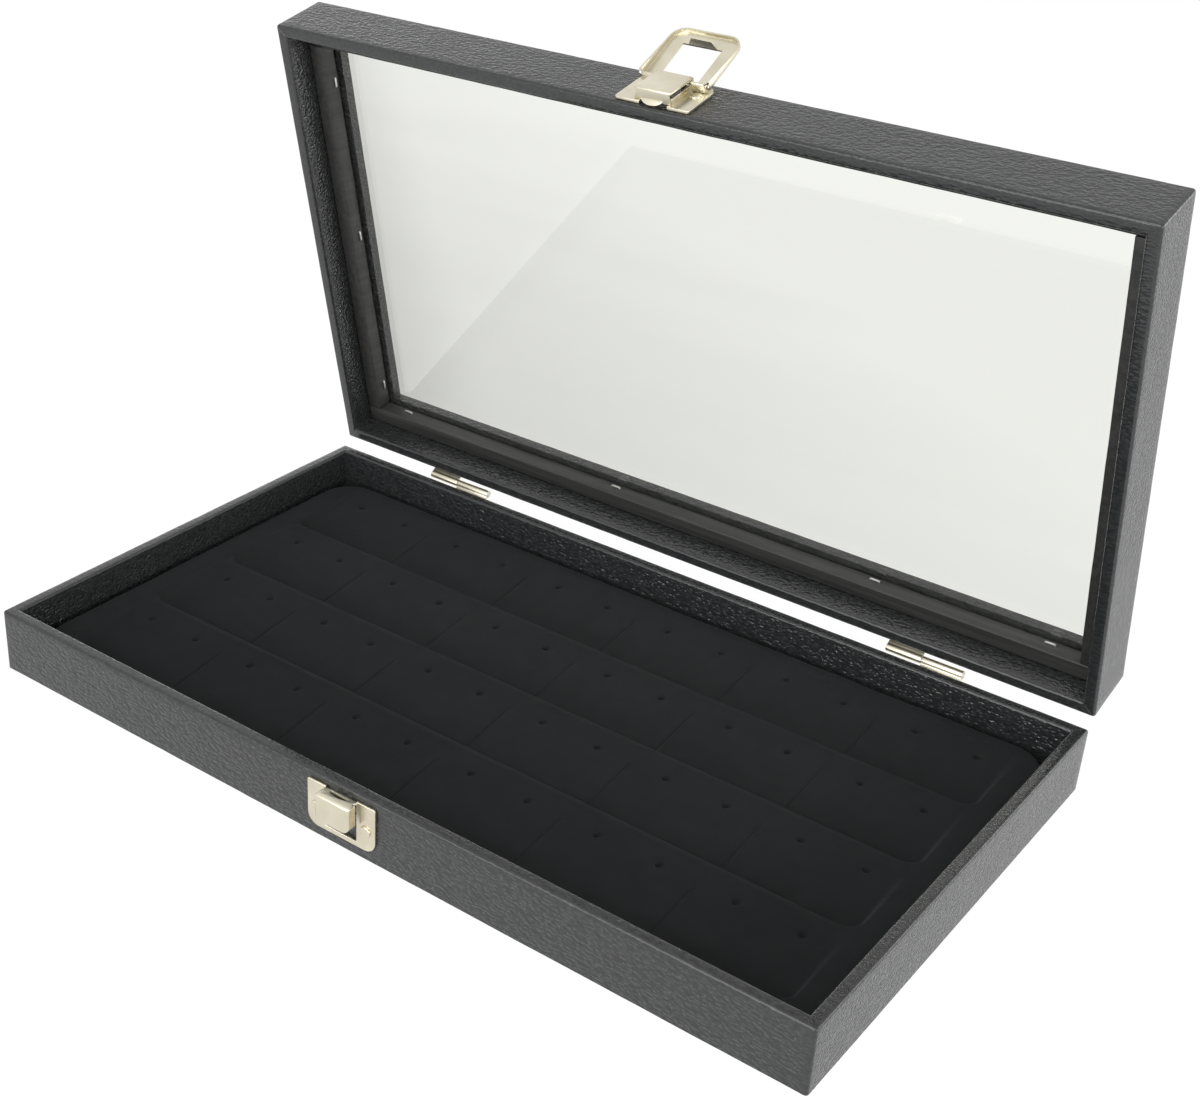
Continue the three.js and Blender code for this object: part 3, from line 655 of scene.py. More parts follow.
# Staples: flat steel wire, driven through the strips into the lid's walls.
# One geometry tree bends the wire and sets a staple at each point.
haze_depth = 0.00003
steel, tree, surface, place = new_material("bright_steel")
haze = noise_field(tree, place, scale=700.0)
feed(tree, surface, {
    "Metallic": 1.0,
    "Base Color": (0.62, 0.62, 0.60, 1.0),
    "Roughness": level(tree, haze, low=0.22, high=0.40),
    "Normal": relief(tree, (haze, haze_depth, 0.4))})


def node_tree(name, sizes):
    """A geometry tree with one geometry input and a named input for each size, and these inputs."""
    tree = bpy.data.node_groups.new(name, "GeometryNodeTree")
    tree.interface.new_socket("Geometry", in_out="INPUT", socket_type="NodeSocketGeometry")
    for size, value in sizes.items():
        socket = tree.interface.new_socket(size, in_out="INPUT", socket_type="NodeSocketFloat")
        socket.default_value = value
    tree.interface.new_socket("Geometry", in_out="OUTPUT", socket_type="NodeSocketGeometry")
    return tree, add_node(tree, "NodeGroupInput", {}).outputs


def finish_tree(tree, points, shape, material):
    """Sets the shape at every point, turned as the point says, then joins and paints it."""
    turned = add_node(tree, "GeometryNodeInputNamedAttribute", {"Name": "turn"}, data_type="FLOAT_VECTOR")
    inputs = {"Points": points, "Instance": shape, "Rotation": turned}
    whole = add_node(tree, "GeometryNodeRealizeInstances", {
        "Geometry": add_node(tree, "GeometryNodeInstanceOnPoints", inputs)})
    painted = add_node(tree, "GeometryNodeSetMaterial", {"Geometry": whole, "Material": material})
    add_node(tree, "NodeGroupOutput", {"Geometry": painted})


def evaluated_mesh(object_):
    """The finished mesh of an object with modifiers or of a curve; the object itself is removed."""
    view = bpy.context.evaluated_depsgraph_get()
    view.update()
    mesh = bpy.data.meshes.new_from_object(object_.evaluated_get(view))
    bpy.data.objects.remove(object_)
    return mesh


fitting_sharp_deg = 40


def set_out(name, points, turned, tree, sizes):
    """Runs a geometry tree on loose points, each with its turn, and keeps the result as a plain mesh."""
    mesh = bpy.data.meshes.new("points")
    mesh.from_pydata(points, [], [])
    attribute = mesh.attributes.new("turn", "FLOAT_VECTOR", "POINT")
    attribute.data.foreach_set("vector", [angle for angles in turned for angle in angles])
    object_ = add_object("points", mesh)
    modifier = object_.modifiers.new("build", "NODES")
    modifier.node_group = tree
    for socket in tree.interface.items_tree:
        if socket.in_out == "INPUT" and socket.name in sizes:
            modifier[socket.identifier] = sizes[socket.name]
    result = evaluated_mesh(object_)
    result.name = name
    result.shade_smooth()
    result.set_sharp_from_angle(angle=math.radians(fitting_sharp_deg))
    return add_object(name, result)


wire_bevel = 0.00015
tree, sizes = node_tree(
    "staple", {"Crown": 0.0041, "Leg": 0.0022, "Wire Width": 0.0010, "Wire Height": 0.0006, "Bend": 0.00035})


def rounded_rectangle(tree, width, height, count, radius, closed):
    """A rectangular curve with rounded corners; an open one lacks its last side."""
    curve = add_node(tree, "GeometryNodeCurvePrimitiveQuadrilateral", {"Width": width, "Height": height})
    if not closed:
        curve = add_node(tree, "GeometryNodeSetSplineCyclic", {"Geometry": curve, "Cyclic": False})
    return add_node(
        tree, "GeometryNodeFilletCurve", {"Curve": curve, "Count": count, "Radius": radius}, mode="POLY")


bent_wire = add_node(tree, "GeometryNodeCurveToMesh", {
    "Curve": rounded_rectangle(tree, sizes["Leg"], sizes["Crown"], 4, sizes["Bend"], closed=False),
    "Profile Curve": rounded_rectangle(
        tree, sizes["Wire Height"], sizes["Wire Width"], 2, wire_bevel, closed=True),
    "Fill Caps": True})
finish_tree(tree, sizes["Geometry"], bent_wire, steel)
staple_tree = tree

lid_shut = lid_open.inverted()


def shut_box(name):
    """Lowest and highest corner of one of the lid's nodes, with the lid shut."""
    corners = [lid_shut @ vertex.co for vertex in nodes[name].data.vertices]
    return [Vector(end(corner[i] for corner in corners) for i in range(3)) for end in (min, max)]


staple_sunk = 0.0015
staple_faces = {"back": (1, -1, 90), "front": (1, 1, -90), "left": (0, 1, 180), "right": (0, -1, 0)}
staple_nodes = sorted(name for name in nodes if name.startswith("strip_staple"))
staple_points, staple_turns = [], []
for name in staple_nodes:
    axis, facing, turn_deg = staple_faces[name.split("_")[2]]
    low, high = shut_box(name)
    spot = (low + high) / 2
    spot[axis] = (high[axis] if facing > 0 else low[axis]) - facing * staple_sunk
    staple_points.append(spot)
    staple_turns.append((0.0, 0.0, math.radians(turn_deg)))
staples = set_out("strip_staples", staple_points, staple_turns, staple_tree, {})
staples.data.transform(lid_open)
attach(staples, "lid")
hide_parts(*staple_nodes)


# Rivets and nails: soft nickelled pins with low round heads.
# Two hold each latch plate and each hinge leaf; one tree shapes the head and sets them all.
nickel_dark, nickel_light = (0.61, 0.56, 0.43), (0.74, 0.70, 0.57)
breath_depth = 0.00003
nickel, tree, surface, place = new_material("nickel_plate")
breath = noise_field(tree, place, scale=300.0)
tarnish = noise_field(tree, place, scale=70.0, detail=4.0)
feed(tree, surface, {
    "Metallic": 1.0,
    "Base Color": ramp(tree, tarnish, (0.3, nickel_dark), (0.7, nickel_light)),
    "Roughness": level(tree, breath, low=0.22, high=0.38),
    "Normal": relief(tree, (breath, breath_depth, 0.3))})

rivet_sizes = {
    "Head Radius": 0.0023, "Head Height": 0.0008, "Roundness": 0.3, "Shank Radius": 0.0009,
    "Shank Length": 0.0035}
nail_sizes = {
    "Head Radius": 0.0016, "Head Height": 0.0007, "Roundness": 0.8, "Shank Radius": 0.0006,
    "Shank Length": 0.0035}
shank_lap_share = 0.49
tree, sizes = node_tree("headed_pin", rivet_sizes)
ball = add_node(tree, "GeometryNodeMeshUVSphere", {"Segments": 28, "Rings": 14, "Radius": 1.0})
spot = add_node(tree, "GeometryNodeInputPosition", {})
height = add_node(tree, "ShaderNodeSeparateXYZ", {"Vector": spot}).outputs["Z"]
flat = vector_step(tree, "MULTIPLY", {0: spot, 1: (1.0, 1.0, 0.0)})
reach = reckon(tree, "POWER", vector_step(tree, "LENGTH", {0: flat}).outputs["Value"], sizes["Roundness"])
dome = reckon(tree, "POWER", reckon(tree, "MAXIMUM", height, 0.0), sizes["Roundness"])
spread = vector_step(tree, "SCALE", {
    "Vector": vector_step(tree, "NORMALIZE", {0: flat}),
    "Scale": reckon(tree, "MULTIPLY", reach, sizes["Head Radius"])})
lift = add_node(tree, "ShaderNodeCombineXYZ", {"Z": reckon(tree, "MULTIPLY", dome, sizes["Head Height"])})
head = add_node(tree, "GeometryNodeSetPosition", {
    "Geometry": ball, "Position": vector_step(tree, "ADD", {0: spread, 1: lift})})
shank = add_node(tree, "GeometryNodeMeshCylinder", {
    "Vertices": 16, "Radius": sizes["Shank Radius"], "Depth": sizes["Shank Length"]})
drop = reckon(tree, "MULTIPLY", sizes["Shank Length"], -shank_lap_share)
lowered = add_node(tree, "GeometryNodeTransform", {
    "Geometry": shank, "Translation": add_node(tree, "ShaderNodeCombineXYZ", {"Z": drop})})
whole = add_node(tree, "GeometryNodeJoinGeometry", {"Geometry": head})
feed(tree, whole, {"Geometry": lowered})
finish_tree(tree, sizes["Geometry"], whole, nickel)
pin_tree = tree


def pins(name, body, pin_nodes, sizes, front, stand=0.0):
    """Headed pins in the places of their nodes, facing the front or the back."""
    points = []
    for node in pin_nodes:
        low, high = shut_box(node) if body == "lid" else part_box(node)
        spot = (low + high) / 2
        spot.y = low.y + sizes["Head Height"] - stand if front else high.y - sizes["Head Height"]
        points.append(spot)
    turned = (math.radians(90 if front else -90), 0.0, 0.0)
    object_ = set_out(name, points, [turned] * len(points), pin_tree, sizes)
    if body == "lid":
        object_.data.transform(lid_open)
    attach(object_, body)
    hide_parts(*pin_nodes)


plate_stand = 0.0002
pins("catch_rivets", "base", ["catch_rivet_1", "catch_rivet_2"], rivet_sizes, True, plate_stand)
pins("bail_plate_rivets", "lid", ["bail_plate_rivet_1", "bail_plate_rivet_2"], rivet_sizes, True, plate_stand)
pins("base_hinge_nails", "base", [f"base_hinge_nail_{i}" for i in range(1, 5)], nail_sizes, False)
pins("lid_hinge_nails", "lid", [f"lid_hinge_nail_{i}" for i in range(1, 5)], nail_sizes, False)


# Hinges: two nickelled butt hinges, each of two pressed leaves rolled round one steel pin.
# They are nailed to the outside of the back walls, and their knuckles lie between base and lid.
bar_sides = 24
weld_reach = 1e-7
piece_sharp_deg = 42


def rounded_outline(corners, steps=6):
    """A closed outline through (across, along) corners, each rounded to its own radius."""
    points = []
    for i, (across, along, radius) in enumerate(corners):
        here = Vector((across, along))
        back = (Vector(corners[i - 1][:2]) - here).normalized()
        ahead = (Vector(corners[(i + 1) % len(corners)][:2]) - here).normalized()
        half = back.angle(ahead) / 2
        centre = here + (back + ahead).normalized() * radius / math.sin(half)
        start = here + back * radius / math.tan(half) - centre
        end = here + ahead * radius / math.tan(half) - centre
        sweep = start.angle(end)
        for step in range(steps + 1):
            share = step / steps
            weights = math.sin((1 - share) * sweep), math.sin(share * sweep)
            points.append(centre + (start * weights[0] + end * weights[1]) / math.sin(sweep))
    return points


def slab(outline, low, high, edge):
    """A plate between two heights with the given outline and softened edges."""
    curve = bpy.data.curves.new("outline", "CURVE")
    curve.dimensions = "2D"
    curve.fill_mode = "BOTH"
    curve.extrude = (high - low) / 2 - edge
    curve.bevel_depth = edge
    curve.bevel_resolution = 2
    curve.offset = -edge
    spline = curve.splines.new("POLY")
    spline.points.add(len(outline) - 1)
    for point, (across, along) in zip(spline.points, outline):
        point.co = (across, along, 0.0, 1.0)
    spline.use_cyclic_u = True
    mesh = evaluated_mesh(add_object("outline", curve))
    mesh.transform(Matrix.Translation((0, 0, (low + high) / 2)))
    return mesh


def round_bar(radius, half_length):
    """A round bar along X with softened ends."""
    circle = [math.tau * i / bar_sides for i in range(bar_sides)]
    outline = [(radius * math.cos(a), radius * math.sin(a)) for a in circle]
    mesh = slab(outline, -half_length, half_length, cut_edge)
    mesh.transform(Matrix.Rotation(math.radians(90), 4, "Y"))
    return mesh


def joined(meshes, matrix):
    """One mesh from several, each a closed shell, moved to its place with its faces outwards."""
    shape = bmesh.new()
    for mesh in meshes:
        shape.from_mesh(mesh)
    bmesh.ops.remove_doubles(shape, verts=shape.verts, dist=weld_reach)
    shape.transform(matrix)
    bmesh.ops.recalc_face_normals(shape, faces=shape.faces)
    result = bpy.data.meshes.new("joined")
    shape.to_mesh(result)
    shape.free()
    return result


def placed(name, mesh, body, material, slot, *replaced):
    """A finished piece, which rides on its body and stands for its nodes."""
    mesh.name = name
    mesh.materials.clear()
    mesh.materials.append(material)
    mesh.shade_smooth()
    mesh.set_sharp_from_angle(angle=math.radians(piece_sharp_deg))
    object_ = add_object(name, mesh)
    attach(object_, body)
    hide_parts(*replaced)


def map_axes(across, out, up, place=(0, 0, 0)):
    """The matrix that lays a shape's three axes along the given directions at a place."""
    return Matrix.Translation(place) @ Matrix((across, out, up)).transposed().to_4x4()


stood_up = map_axes((1, 0, 0), (0, 0, 1), (0, 1, 0))
laid_across = map_axes((0, 1, 0), (0, 0, 1), (1, 0, 0))
cut_edge = 0.0001
leaf_sheet = 0.0008
leaf_near = 0.0028
leaf_far = 0.013
leaf_gap = 0.00005
leaf_near_corner = 0.0003
leaf_far_corner = 0.0012
roll_sheet = 0.00075
roll_radius = 0.00175
roll_start = 0.0052
roll_bend = 0.0034
roll_wrap_deg = 318
roll_edge = 0.00008
roll_steps = 40
bend_steps = 8
knuckle_gap = 0.0003
knuckle_share = 0.47
pin_radius = 0.0009


def rolled_strip(span, axis_out):
    """The part of a leaf that bends off the wall and rolls round the pin, drawn along X."""
    middle = roll_radius - roll_sheet / 2
    flat = leaf_gap + leaf_sheet / 2
    line = [Vector((flat, roll_start))]
    for step in range(bend_steps + 1):
        share = step / bend_steps
        off_wall = (axis_out - middle - flat) * float(smooth_step(share))
        line.append(Vector((flat + off_wall, roll_bend * (1 - share))))
    for step in range(1, roll_steps + 1):
        angle = math.radians(roll_wrap_deg * step / roll_steps)
        line.append(Vector((axis_out - middle * math.cos(angle), -middle * math.sin(angle))))
    sides = [], []
    for i, point in enumerate(line):
        ahead = (line[min(i + 1, len(line) - 1)] - line[max(i - 1, 0)]).normalized() * roll_sheet / 2
        sides[0].append((point.x - ahead.y, point.y + ahead.x))
        sides[1].append((point.x + ahead.y, point.y - ahead.x))
    strip_mesh = slab(sides[0] + sides[1][::-1], span[0], span[1], roll_edge)
    strip_mesh.transform(laid_across)
    return strip_mesh


for side in ("left", "right"):
    leaf_low, leaf_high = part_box(f"hinge_{side}_base_leaf")
    split = leaf_low.x + knuckle_share * (leaf_high.x - leaf_low.x)
    spans = {"base": (split + knuckle_gap / 2, leaf_high.x), "lid": (leaf_low.x, split - knuckle_gap / 2)}
    for body, span in spans.items():
        leaf_outline = rounded_outline([
            (leaf_low.x, leaf_near, leaf_near_corner), (leaf_high.x, leaf_near, leaf_near_corner),
            (leaf_high.x, leaf_far, leaf_far_corner), (leaf_low.x, leaf_far, leaf_far_corner)])
        plate = slab(leaf_outline, leaf_gap, leaf_gap + leaf_sheet, cut_edge)
        plate.transform(stood_up)
        up = 1 if body == "lid" else -1
        on_wall = map_axes((1, 0, 0), (0, 1, 0), (0, 0, up), (0, half_depth, hinge_point.z))
        if body == "lid":
            on_wall = lid_open @ on_wall
        leaf = joined([plate, rolled_strip(span, hinge_point.y - half_depth)], on_wall)
        placed(f"{side}_{body}_leaf", leaf, body, nickel, "nickel", f"hinge_{side}_{body}_leaf")
    pin = round_bar(pin_radius, (leaf_high.x - leaf_low.x) / 2)
    at_axis = Matrix.Translation(((leaf_low.x + leaf_high.x) / 2, hinge_point.y, hinge_point.z))
    placed(f"{side}_pin", joined([pin], at_axis), "base", steel, "steel", f"hinge_{side}_pin")


# Catch: a nickelled plate on the base's front, pressed out into a hump that is open at its foot.
# Its near edge is turned down and cut back in the middle; the hump's near wall has a half-moon hole.
latch_centre = -0.002
plate_half = 0.016
plate_near = 0.0027
plate_far = 0.0222
plate_under = 0.00005
plate_top = 0.00125
plate_corner = 0.005
plate_near_corner = 0.0009
plate_edge = 0.0003
notch_half = 0.00725
notch_far = 0.0200
notch_corner = 0.0006
notch_mouth_corner = 0.0004
sheet = 0.0008
sheet_bevel = 0.00014
sheet_soft_deg = 50
fine_edge = 0.00005
catch_half = 0.0081
catch_near = 0.0031
catch_end = 0.0143
catch_corner = 0.0034
catch_foot = 0.0026
catch_near_foot = 0.0009
hump_top = 0.0064
hump_round = 0.0012
moon_half = 0.0042
moon_height = 0.0019
moon_foot = 0.0016
moon_depth = 0.006
trim_half = 0.012
trim_shoulder = 0.0065
trim_slope = 0.0005
trim_gap = 0.0001
trim_corner = 0.001
trim_inner_corner = 0.0002
trim_depth = 0.010
overrun = 0.001


def bent_sheet(faces, inside, radius):
    """A sheet without thickness through the given faces, rounded where they meet."""
    shape = bmesh.new()
    corners = {}
    for face in faces:
        for point in face:
            if point not in corners:
                corners[point] = shape.verts.new(point)
        shape.faces.new([corners[point] for point in face])
    shape.normal_update()
    for face in shape.faces:
        if face.normal.dot(face.calc_center_median() - Vector(inside)) < 0:
            face.normal_flip()
    folds = [edge for edge in shape.edges if len(edge.link_faces) == 2]
    bmesh.ops.bevel(shape, geom=folds, offset=radius, segments=5, profile=0.5, affect="EDGES")
    mesh = bpy.data.meshes.new("bent_sheet")
    shape.to_mesh(mesh)
    shape.free()
    return mesh


def pressed(mesh, thickness, cut=None, keep=None):
    """The sheet made thick inwards, less what lies in one shape or outside another, its edges softened."""
    object_ = add_object("pressed", mesh)
    wall = object_.modifiers.new("wall", "SOLIDIFY")
    wall.thickness = thickness
    wall.offset = -1.0
    cutters = []
    for operation, tool in (("DIFFERENCE", cut), ("INTERSECT", keep)):
        if tool is not None:
            cutters.append(add_object("cutter", tool))
            trim = object_.modifiers.new("trim", "BOOLEAN")
            trim.operation = operation
            trim.solver = "EXACT"
            trim.object = cutters[-1]
    soft = object_.modifiers.new("soft", "BEVEL")
    soft.width = sheet_bevel
    soft.segments = 2
    soft.limit_method = "ANGLE"
    soft.angle_limit = math.radians(sheet_soft_deg)
    result = evaluated_mesh(object_)
    for cutter in cutters:
        bpy.data.objects.remove(cutter)
    return result


def hump(half, near, end, side_foot, near_foot):
    """Faces of the hump: near wall down to its own foot, front, and two side walls."""
    left, right, top = latch_centre - half, latch_centre + half, hump_top
    return [
        [(left, near, near_foot), (left, near, side_foot), (left, near, top), (right, near, top),
         (right, near, side_foot), (right, near, near_foot)],
        [(left, near, top), (left, end, top), (right, end, top), (right, near, top)],
        [(left, near, top), (left, near, side_foot), (left, end, side_foot), (left, end, top)],
        [(right, near, top), (right, end, top), (right, end, side_foot), (right, near, side_foot)]]


def notched_plate(near, notch_left, notch_right, top):
    """The latch plate, cut open towards the rim between two places."""
    outline = rounded_outline([
        (latch_centre - plate_half, near, plate_near_corner),
        (latch_centre - notch_left, near, notch_mouth_corner),
        (latch_centre - notch_left, notch_far, notch_corner),
        (latch_centre + notch_right, notch_far, notch_corner),
        (latch_centre + notch_right, near, notch_mouth_corner),
        (latch_centre + plate_half, near, plate_near_corner),
        (latch_centre + plate_half, plate_far, plate_corner),
        (latch_centre - plate_half, plate_far, plate_corner)])
    return slab(outline, plate_under, top, plate_edge)


arc_steps = 16
arc = [math.pi * i / arc_steps for i in range(arc_steps + 1)]
moon_outline = [(latch_centre + moon_half * math.cos(a), moon_foot + moon_height * math.sin(a)) for a in arc]
moon_hole = slab(moon_outline, 0.0, moon_depth, fine_edge)
moon_hole.transform(stood_up)
moon_hole.flip_normals()
trim_side = [
    (trim_half, 0.0, trim_corner),
    (trim_half, trim_shoulder - trim_slope, trim_corner),
    (catch_half + trim_gap, trim_shoulder, trim_inner_corner),
    (catch_half + trim_gap, catch_end, catch_corner)]
trim_outline = (
    [(latch_centre + across, along, radius) for across, along, radius in trim_side]
    + [(latch_centre - across, along, radius) for across, along, radius in reversed(trim_side)])
rounded_end = slab(rounded_outline(trim_outline), -overrun, trim_depth, fine_edge)
catch_form = bent_sheet(
    hump(catch_half, catch_near, catch_end + overrun, catch_foot, catch_near_foot),
    (latch_centre, (catch_near + catch_end) / 2, plate_top), hump_round)
catch_hump = pressed(catch_form, sheet, cut=moon_hole, keep=rounded_end)
catch_sheet = notched_plate(plate_near, notch_half, notch_half, plate_top)
on_base = map_axes((1, 0, 0), (0, 0, -1), (0, -1, 0), (0, -half_depth, base_height))
placed("catch", joined([catch_sheet, catch_hump], on_base), "base", nickel, "nickel", "catch_plate")


# Bail holder: a plate of the same kind on the lid, its hump longer, with low side walls for the rod.
# A half-moon tongue of the near wall leans out over the cut-back edge.
holder_half = 0.00775
holder_near = 0.0028
holder_near_foot = 0.0016
holder_plate_near = 0.0017
holder_notch_left = 0.0053
holder_notch_right = 0.0066
holder_top = 0.0015
holder_end = 0.0184
holder_lip = 0.0044
holder_round = 0.0008
slot_low = 0.0037
slot_high = 0.0053
rail_start = 0.0038
rail_sunk = 0.0004
rail_corner = 0.0002
tongue_half = 0.0046
tongue_length = 0.0025
tongue_lean_deg = 40
left, right = latch_centre - holder_half, latch_centre + holder_half
holder_faces = hump(holder_half, holder_near, holder_end, slot_high, holder_near_foot)
holder_faces.append([
    (left, holder_end, hump_top), (left, holder_end, holder_lip), (right, holder_end, holder_lip),
    (right, holder_end, hump_top)])
holder_middle = (latch_centre, (holder_near + holder_end) / 2, holder_top)
holder_hump = pressed(bent_sheet(holder_faces, holder_middle, holder_round), sheet)
rails = [
    slab(rounded_outline([
        (x, rail_start, rail_corner), (x + sheet, rail_start, rail_corner),
        (x + sheet, holder_end, rail_corner), (x, holder_end, rail_corner)], 2),
        plate_top - rail_sunk, slot_low, cut_edge)
    for x in (left, right - sheet)]
tongue_outline = [(latch_centre + tongue_half * math.cos(a), -tongue_length * math.sin(a)) for a in arc]
tongue = slab(tongue_outline, -sheet / 2, sheet / 2, cut_edge)
tongue.transform(
    Matrix.Translation((0, holder_near + cut_edge, holder_near_foot + sheet))
    @ Matrix.Rotation(math.radians(tongue_lean_deg), 4, "X"))
holder_sheet = notched_plate(holder_plate_near, holder_notch_left, holder_notch_right, holder_top)
on_lid = lid_open @ map_axes((1, 0, 0), (0, 0, 1), (0, -1, 0), (0, -half_depth, lid_foot))
holder = joined([holder_sheet, holder_hump, tongue] + rails, on_lid)
placed("bail_holder", holder, "lid", nickel, "nickel", "bail_plate")


# Bail: a frame pressed from sheet, with a flange that runs round its outside and down to both feet.
# It turns on a rod that slides in the holder; its end bar drops behind the catch, and a tab keeps it there.
rod_out = 0.0045
rod_rest = 0.0166
rod_radius = 0.0007
rod_half = 0.01455
rod_play = 0.00015
bail_rest_deg = 17.6
bail_half = 0.015
bail_open = 0.0085
bail_foot = 0.0013
bail_reach = 0.0207
bail_bar = 0.0067
bail_end = bail_reach + bail_bar
bail_corner = 0.006
bail_foot_corner = 0.0026
bail_sheet = 0.0007
bail_back = 0.0029
bail_bend = 0.0009
flange_height = 0.0022
flange_steps = 5
foot_height = 0.0034
foot_reach = 0.0014
ear_height = 0.00425
ear_length = 0.0016
ear_along = 0.0002
ear_across = 0.0132
ear_rise = 0.0008
ear_spread_share = 1.5
foot_spread_share = 1.6
tab_root = 0.0065
tab_tip = 0.0045
tab_length = 0.0039
tab_sunk = 0.0002
outer = (
    [Vector((-bail_open, -bail_foot))]
    + rounded_outline([
        (-bail_half, -bail_foot, bail_foot_corner), (-bail_half, bail_end, bail_corner),
        (bail_half, bail_end, bail_corner), (bail_half, -bail_foot, bail_foot_corner)], 8)
    + [Vector((bail_open, -bail_foot))])


def bail_ring(bend_deg, rim=False):
    """The outline at one step of the bend from sheet to flange, or at the rim of the flange."""
    inset = bail_bend * (1 - math.sin(math.radians(bend_deg)))
    bent_out = bail_back - bail_bend * (1 - math.cos(math.radians(bend_deg)))
    ring = []
    for i, point in enumerate(outer):
        ahead = (outer[min(i + 1, len(outer) - 1)] - outer[max(i - 1, 0)]).normalized()
        out = bent_out
        if rim:
            by_rod = (smooth_step(ear_spread_share - abs(point.y - ear_along) / ear_length)
                      * smooth_step((abs(point.x) - ear_across) / ear_rise))
            by_foot = smooth_step(foot_spread_share - (point.y + bail_foot) / foot_reach)
            height = flange_height + (foot_height - flange_height) * float(by_foot)
            out = bail_back - height - (ear_height - height) * float(by_rod)
        ring.append((point.x + ahead.y * inset, out, point.y - ahead.x * inset))
    return ring


shape = bmesh.new()
rings = [bail_ring(90 * step / flange_steps) for step in range(flange_steps + 1)] + [bail_ring(90, rim=True)]
rings = [[shape.verts.new(point) for point in ring] for ring in rings]
foot_line = rings[0][0].co.z
opening = []
for vertex in rings[0]:
    across = max(-bail_open, min(bail_open, vertex.co.x))
    along = max(foot_line, min(bail_reach, vertex.co.z))
    opening.append(shape.verts.new((across, bail_back, along)))
rings.insert(0, opening)
for ring, following in zip(rings, rings[1:]):
    for i in range(len(ring) - 1):
        shape.faces.new((ring[i], ring[i + 1], following[i + 1], following[i]))
least_length = 1e-6
bmesh.ops.remove_doubles(shape, verts=shape.verts, dist=least_length)
bmesh.ops.dissolve_degenerate(shape, edges=shape.edges, dist=least_length)
bmesh.ops.recalc_face_normals(shape, faces=shape.faces)
shape.normal_update()
if max(shape.faces, key=lambda face: abs(face.normal.y)).normal.y < 0:
    bmesh.ops.reverse_faces(shape, faces=shape.faces)
bail_form = bpy.data.meshes.new("bail_form")
shape.to_mesh(bail_form)
shape.free()
bore = round_bar(rod_radius + rod_play, bail_half + 2 * overrun)
bail_shell = pressed(bail_form, bail_sheet, cut=bore)
tab_outline = [
    (-tab_root, bail_back - tab_sunk), (tab_root, bail_back - tab_sunk), (tab_tip, bail_back - tab_length),
    (-tab_tip, bail_back - tab_length)]
tab = slab(tab_outline, bail_reach, bail_reach + bail_sheet, cut_edge)
at_rod = lid_open @ Matrix.Translation((latch_centre, -half_depth - rod_out, lid_foot + rod_rest))
on_bail = at_rod @ Matrix.Rotation(math.radians(bail_rest_deg), 4, "X")
placed("bail", joined([bail_shell, tab], on_bail), "bail", nickel, "nickel", "bail_frame")
placed("bail_pivot", joined([round_bar(rod_radius, rod_half)], at_rod), "rod", nickel, "nickel", "bail_rod")


# Studio: an even white room with two soft lamps in front, one from the right and two weaker ones behind.
# The case stands on a pale paper floor, which glows like a bright backdrop when it is seen through the glass,
# with painted shade in that glow.
scene = bpy.context.scene
scene.view_settings.view_transform = "Standard"
room = bpy.data.worlds.new("white_room")
room.use_nodes = True
scene.world = room


def seen_directly(tree):
    """1 for rays from the camera, from glass and from gloss; 0 for the rest."""
    rays = add_node(tree, "ShaderNodeLightPath", {}).outputs
    through = reckon(tree, "MAXIMUM", rays["Is Camera Ray"], rays["Is Transmission Ray"])
    return reckon(tree, "MAXIMUM", through, rays["Is Glossy Ray"])


def mix_surface(tree, output, share, first, second):
    """Ends a tree in two shaders mixed by a share."""
    mixed = add_node(tree, "ShaderNodeMixShader", {"Fac": share, 1: first, 2: second})
    feed(tree, tree.nodes[output], {"Surface": mixed})


tree = room.node_tree
room_light = tree.nodes["Background"]
feed(tree, room_light, {"Color": (0.95, 0.97, 1.0, 1.0), "Strength": 0.12})
backdrop = add_node(tree, "ShaderNodeBackground", {"Color": (1.0, 1.0, 1.0, 1.0), "Strength": 1.0})
mix_surface(tree, "World Output", seen_directly(tree), room_light, backdrop)

paper_dark, paper_light = (0.86, 0.86, 0.86), (0.90, 0.90, 0.90)
paper, tree, surface, place = new_material("pale_paper")
tooth = noise_field(tree, place, scale=90.0)
feed(tree, surface, {
    "Base Color": ramp(tree, tooth, (0.3, paper_dark), (0.7, paper_light)),
    "Roughness": 0.9,
    "Specular IOR Level": 0.1})


def slope(tree, place, across, along, start):
    """A value that grows evenly over the floor: across * x + along * y + start."""
    grown = vector_step(tree, "DOT_PRODUCT", {0: place, 1: (across, along, 0.0)})
    return reckon(tree, "ADD", grown.outputs["Value"], start)


def shade_before(tree, line, low, high, shade):
    """A shade on the near side of a line on the floor, gone on its far side."""
    inputs = {"Value": line, "From Min": low, "From Max": high, "To Min": shade, "To Max": 0.0}
    return add_node(tree, "ShaderNodeMapRange", inputs, interpolation_type="SMOOTHSTEP")
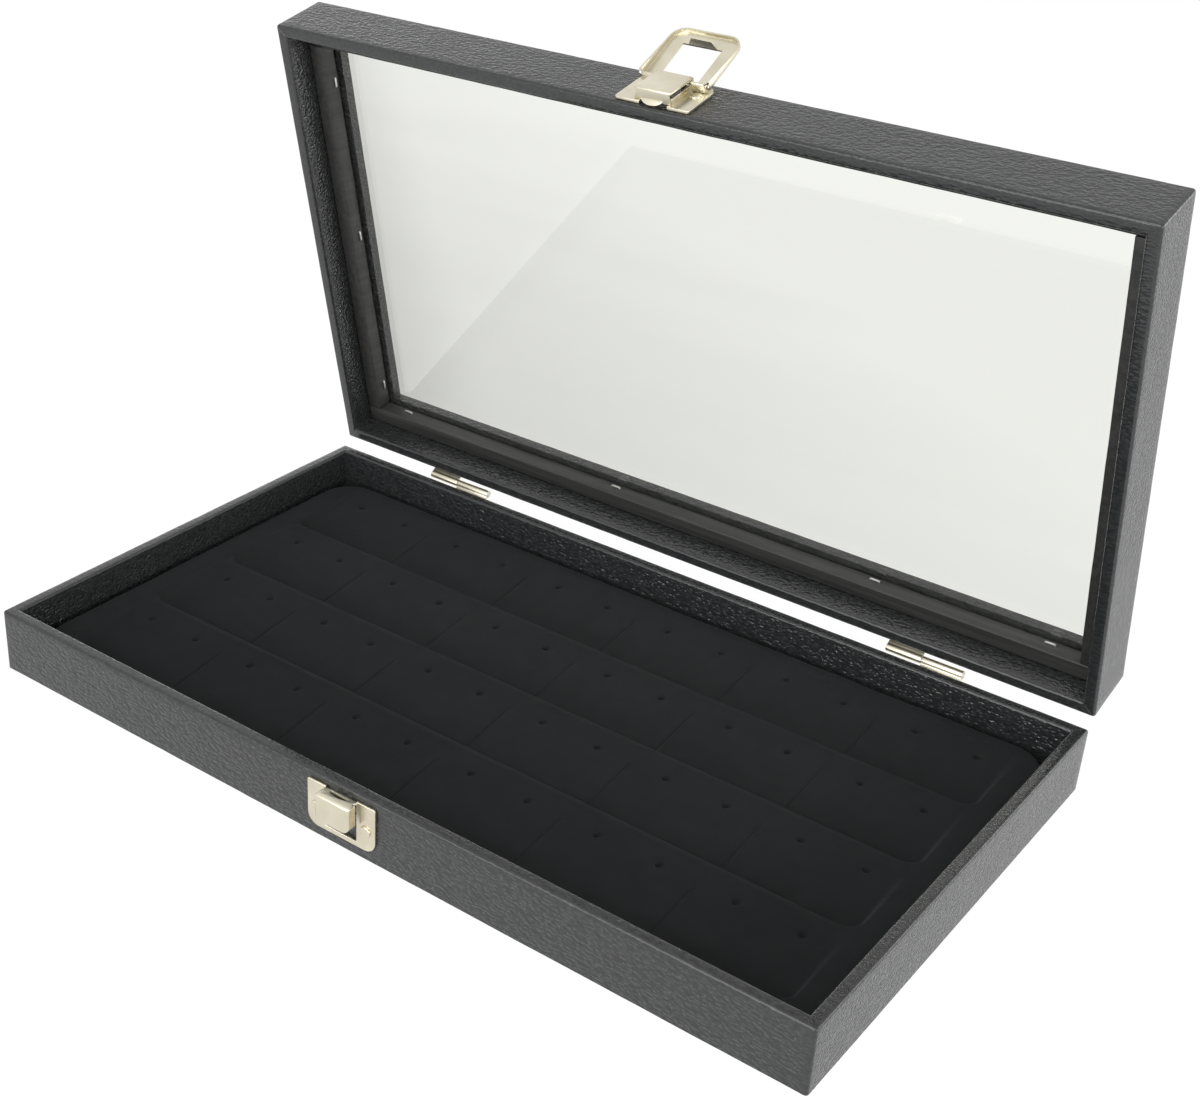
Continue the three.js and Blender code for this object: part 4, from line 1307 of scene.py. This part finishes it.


# Seen through the glass, the floor's glow is painted with shade: it grows brighter towards the back right,
# and two painted shadow edges and painted crease shade darken it.
glow_with_painted_shade = slope(tree, place, across=0.40, along=0.72, start=0.86)
far_painted_shade_edge = slope(tree, place, across=1.0, along=0.365, start=0.1565)
near_painted_shade_edge = slope(tree, place, across=0.718, along=0.696, start=0.0313)
crease_shade_place = stretched(tree, place, (0, 0, 0.5), (3, 14, 1))
painted_crease_shade = noise_field(tree, crease_shade_place, scale=1.0, detail=2.0, roughness=0.5)
for shade in (
        shade_before(tree, far_painted_shade_edge, low=-0.03, high=0.03, shade=-0.06),
        shade_before(tree, near_painted_shade_edge, low=0.0, high=0.06, shade=-0.16),
        level(tree, painted_crease_shade, low=-0.05, high=0.05)):
    glow_with_painted_shade = reckon(tree, "ADD", glow_with_painted_shade, shade)
least_glow, most_glow, plain_glow, glow_share = 0.6, 1.16, 1.10, 0.88
glow_with_painted_shade = reckon(tree, "MINIMUM", reckon(tree, "MAXIMUM", glow_with_painted_shade, least_glow), most_glow)
through_glass = add_node(tree, "ShaderNodeLightPath", {}).outputs["Is Transmission Ray"]
brightness = add_node(tree, "ShaderNodeMix", {"Factor": through_glass, "A": plain_glow, "B": glow_with_painted_shade})
shine = add_node(tree, "ShaderNodeEmission", {"Strength": brightness})
direct_glow = reckon(tree, "MULTIPLY", seen_directly(tree), glow_share)
mix_surface(tree, "Material Output", direct_glow, surface, shine)
floor_half = 6.0
floor_drop = 0.0002
floor_mesh = bpy.data.meshes.new("paper_floor")
around = [(-1, -1), (1, -1), (1, 1), (-1, 1)]
floor_mesh.from_pydata([(x * floor_half, y * floor_half, -floor_drop) for x, y in around], [], [(0, 1, 2, 3)])
floor_mesh.materials.append(paper)
add_object("paper_floor", floor_mesh)


def softbox(name, place, aim, width, height, power):
    """A rectangular lamp that faces a point."""
    lamp = bpy.data.lights.new(name, "AREA")
    lamp.shape = "RECTANGLE"
    lamp.size = width
    lamp.size_y = height
    lamp.energy = power
    object_ = add_object(name, lamp)
    object_.location = place
    object_.rotation_euler = (Vector(aim) - Vector(place)).to_track_quat("-Z", "Y").to_euler()


softbox("front", (0.2, -1.2, 1.1), (0, 0, 0), width=1.6, height=0.8, power=12)
softbox("front_low", (-0.1, -1.3, 0.22), (0, 0.05, 0.1), width=1.4, height=0.35, power=7)
softbox("right", (1.7, -0.2, 0.30), (0, 0, 0.05), width=1.4, height=0.5, power=9)
softbox("right_back", (1.3, 1.1, 0.30), (0, 0, 0.05), width=1.4, height=0.5, power=6)
softbox("left_back", (-1.3, 1.1, 0.35), (0, 0, 0.05), width=1.4, height=0.5, power=2.5)
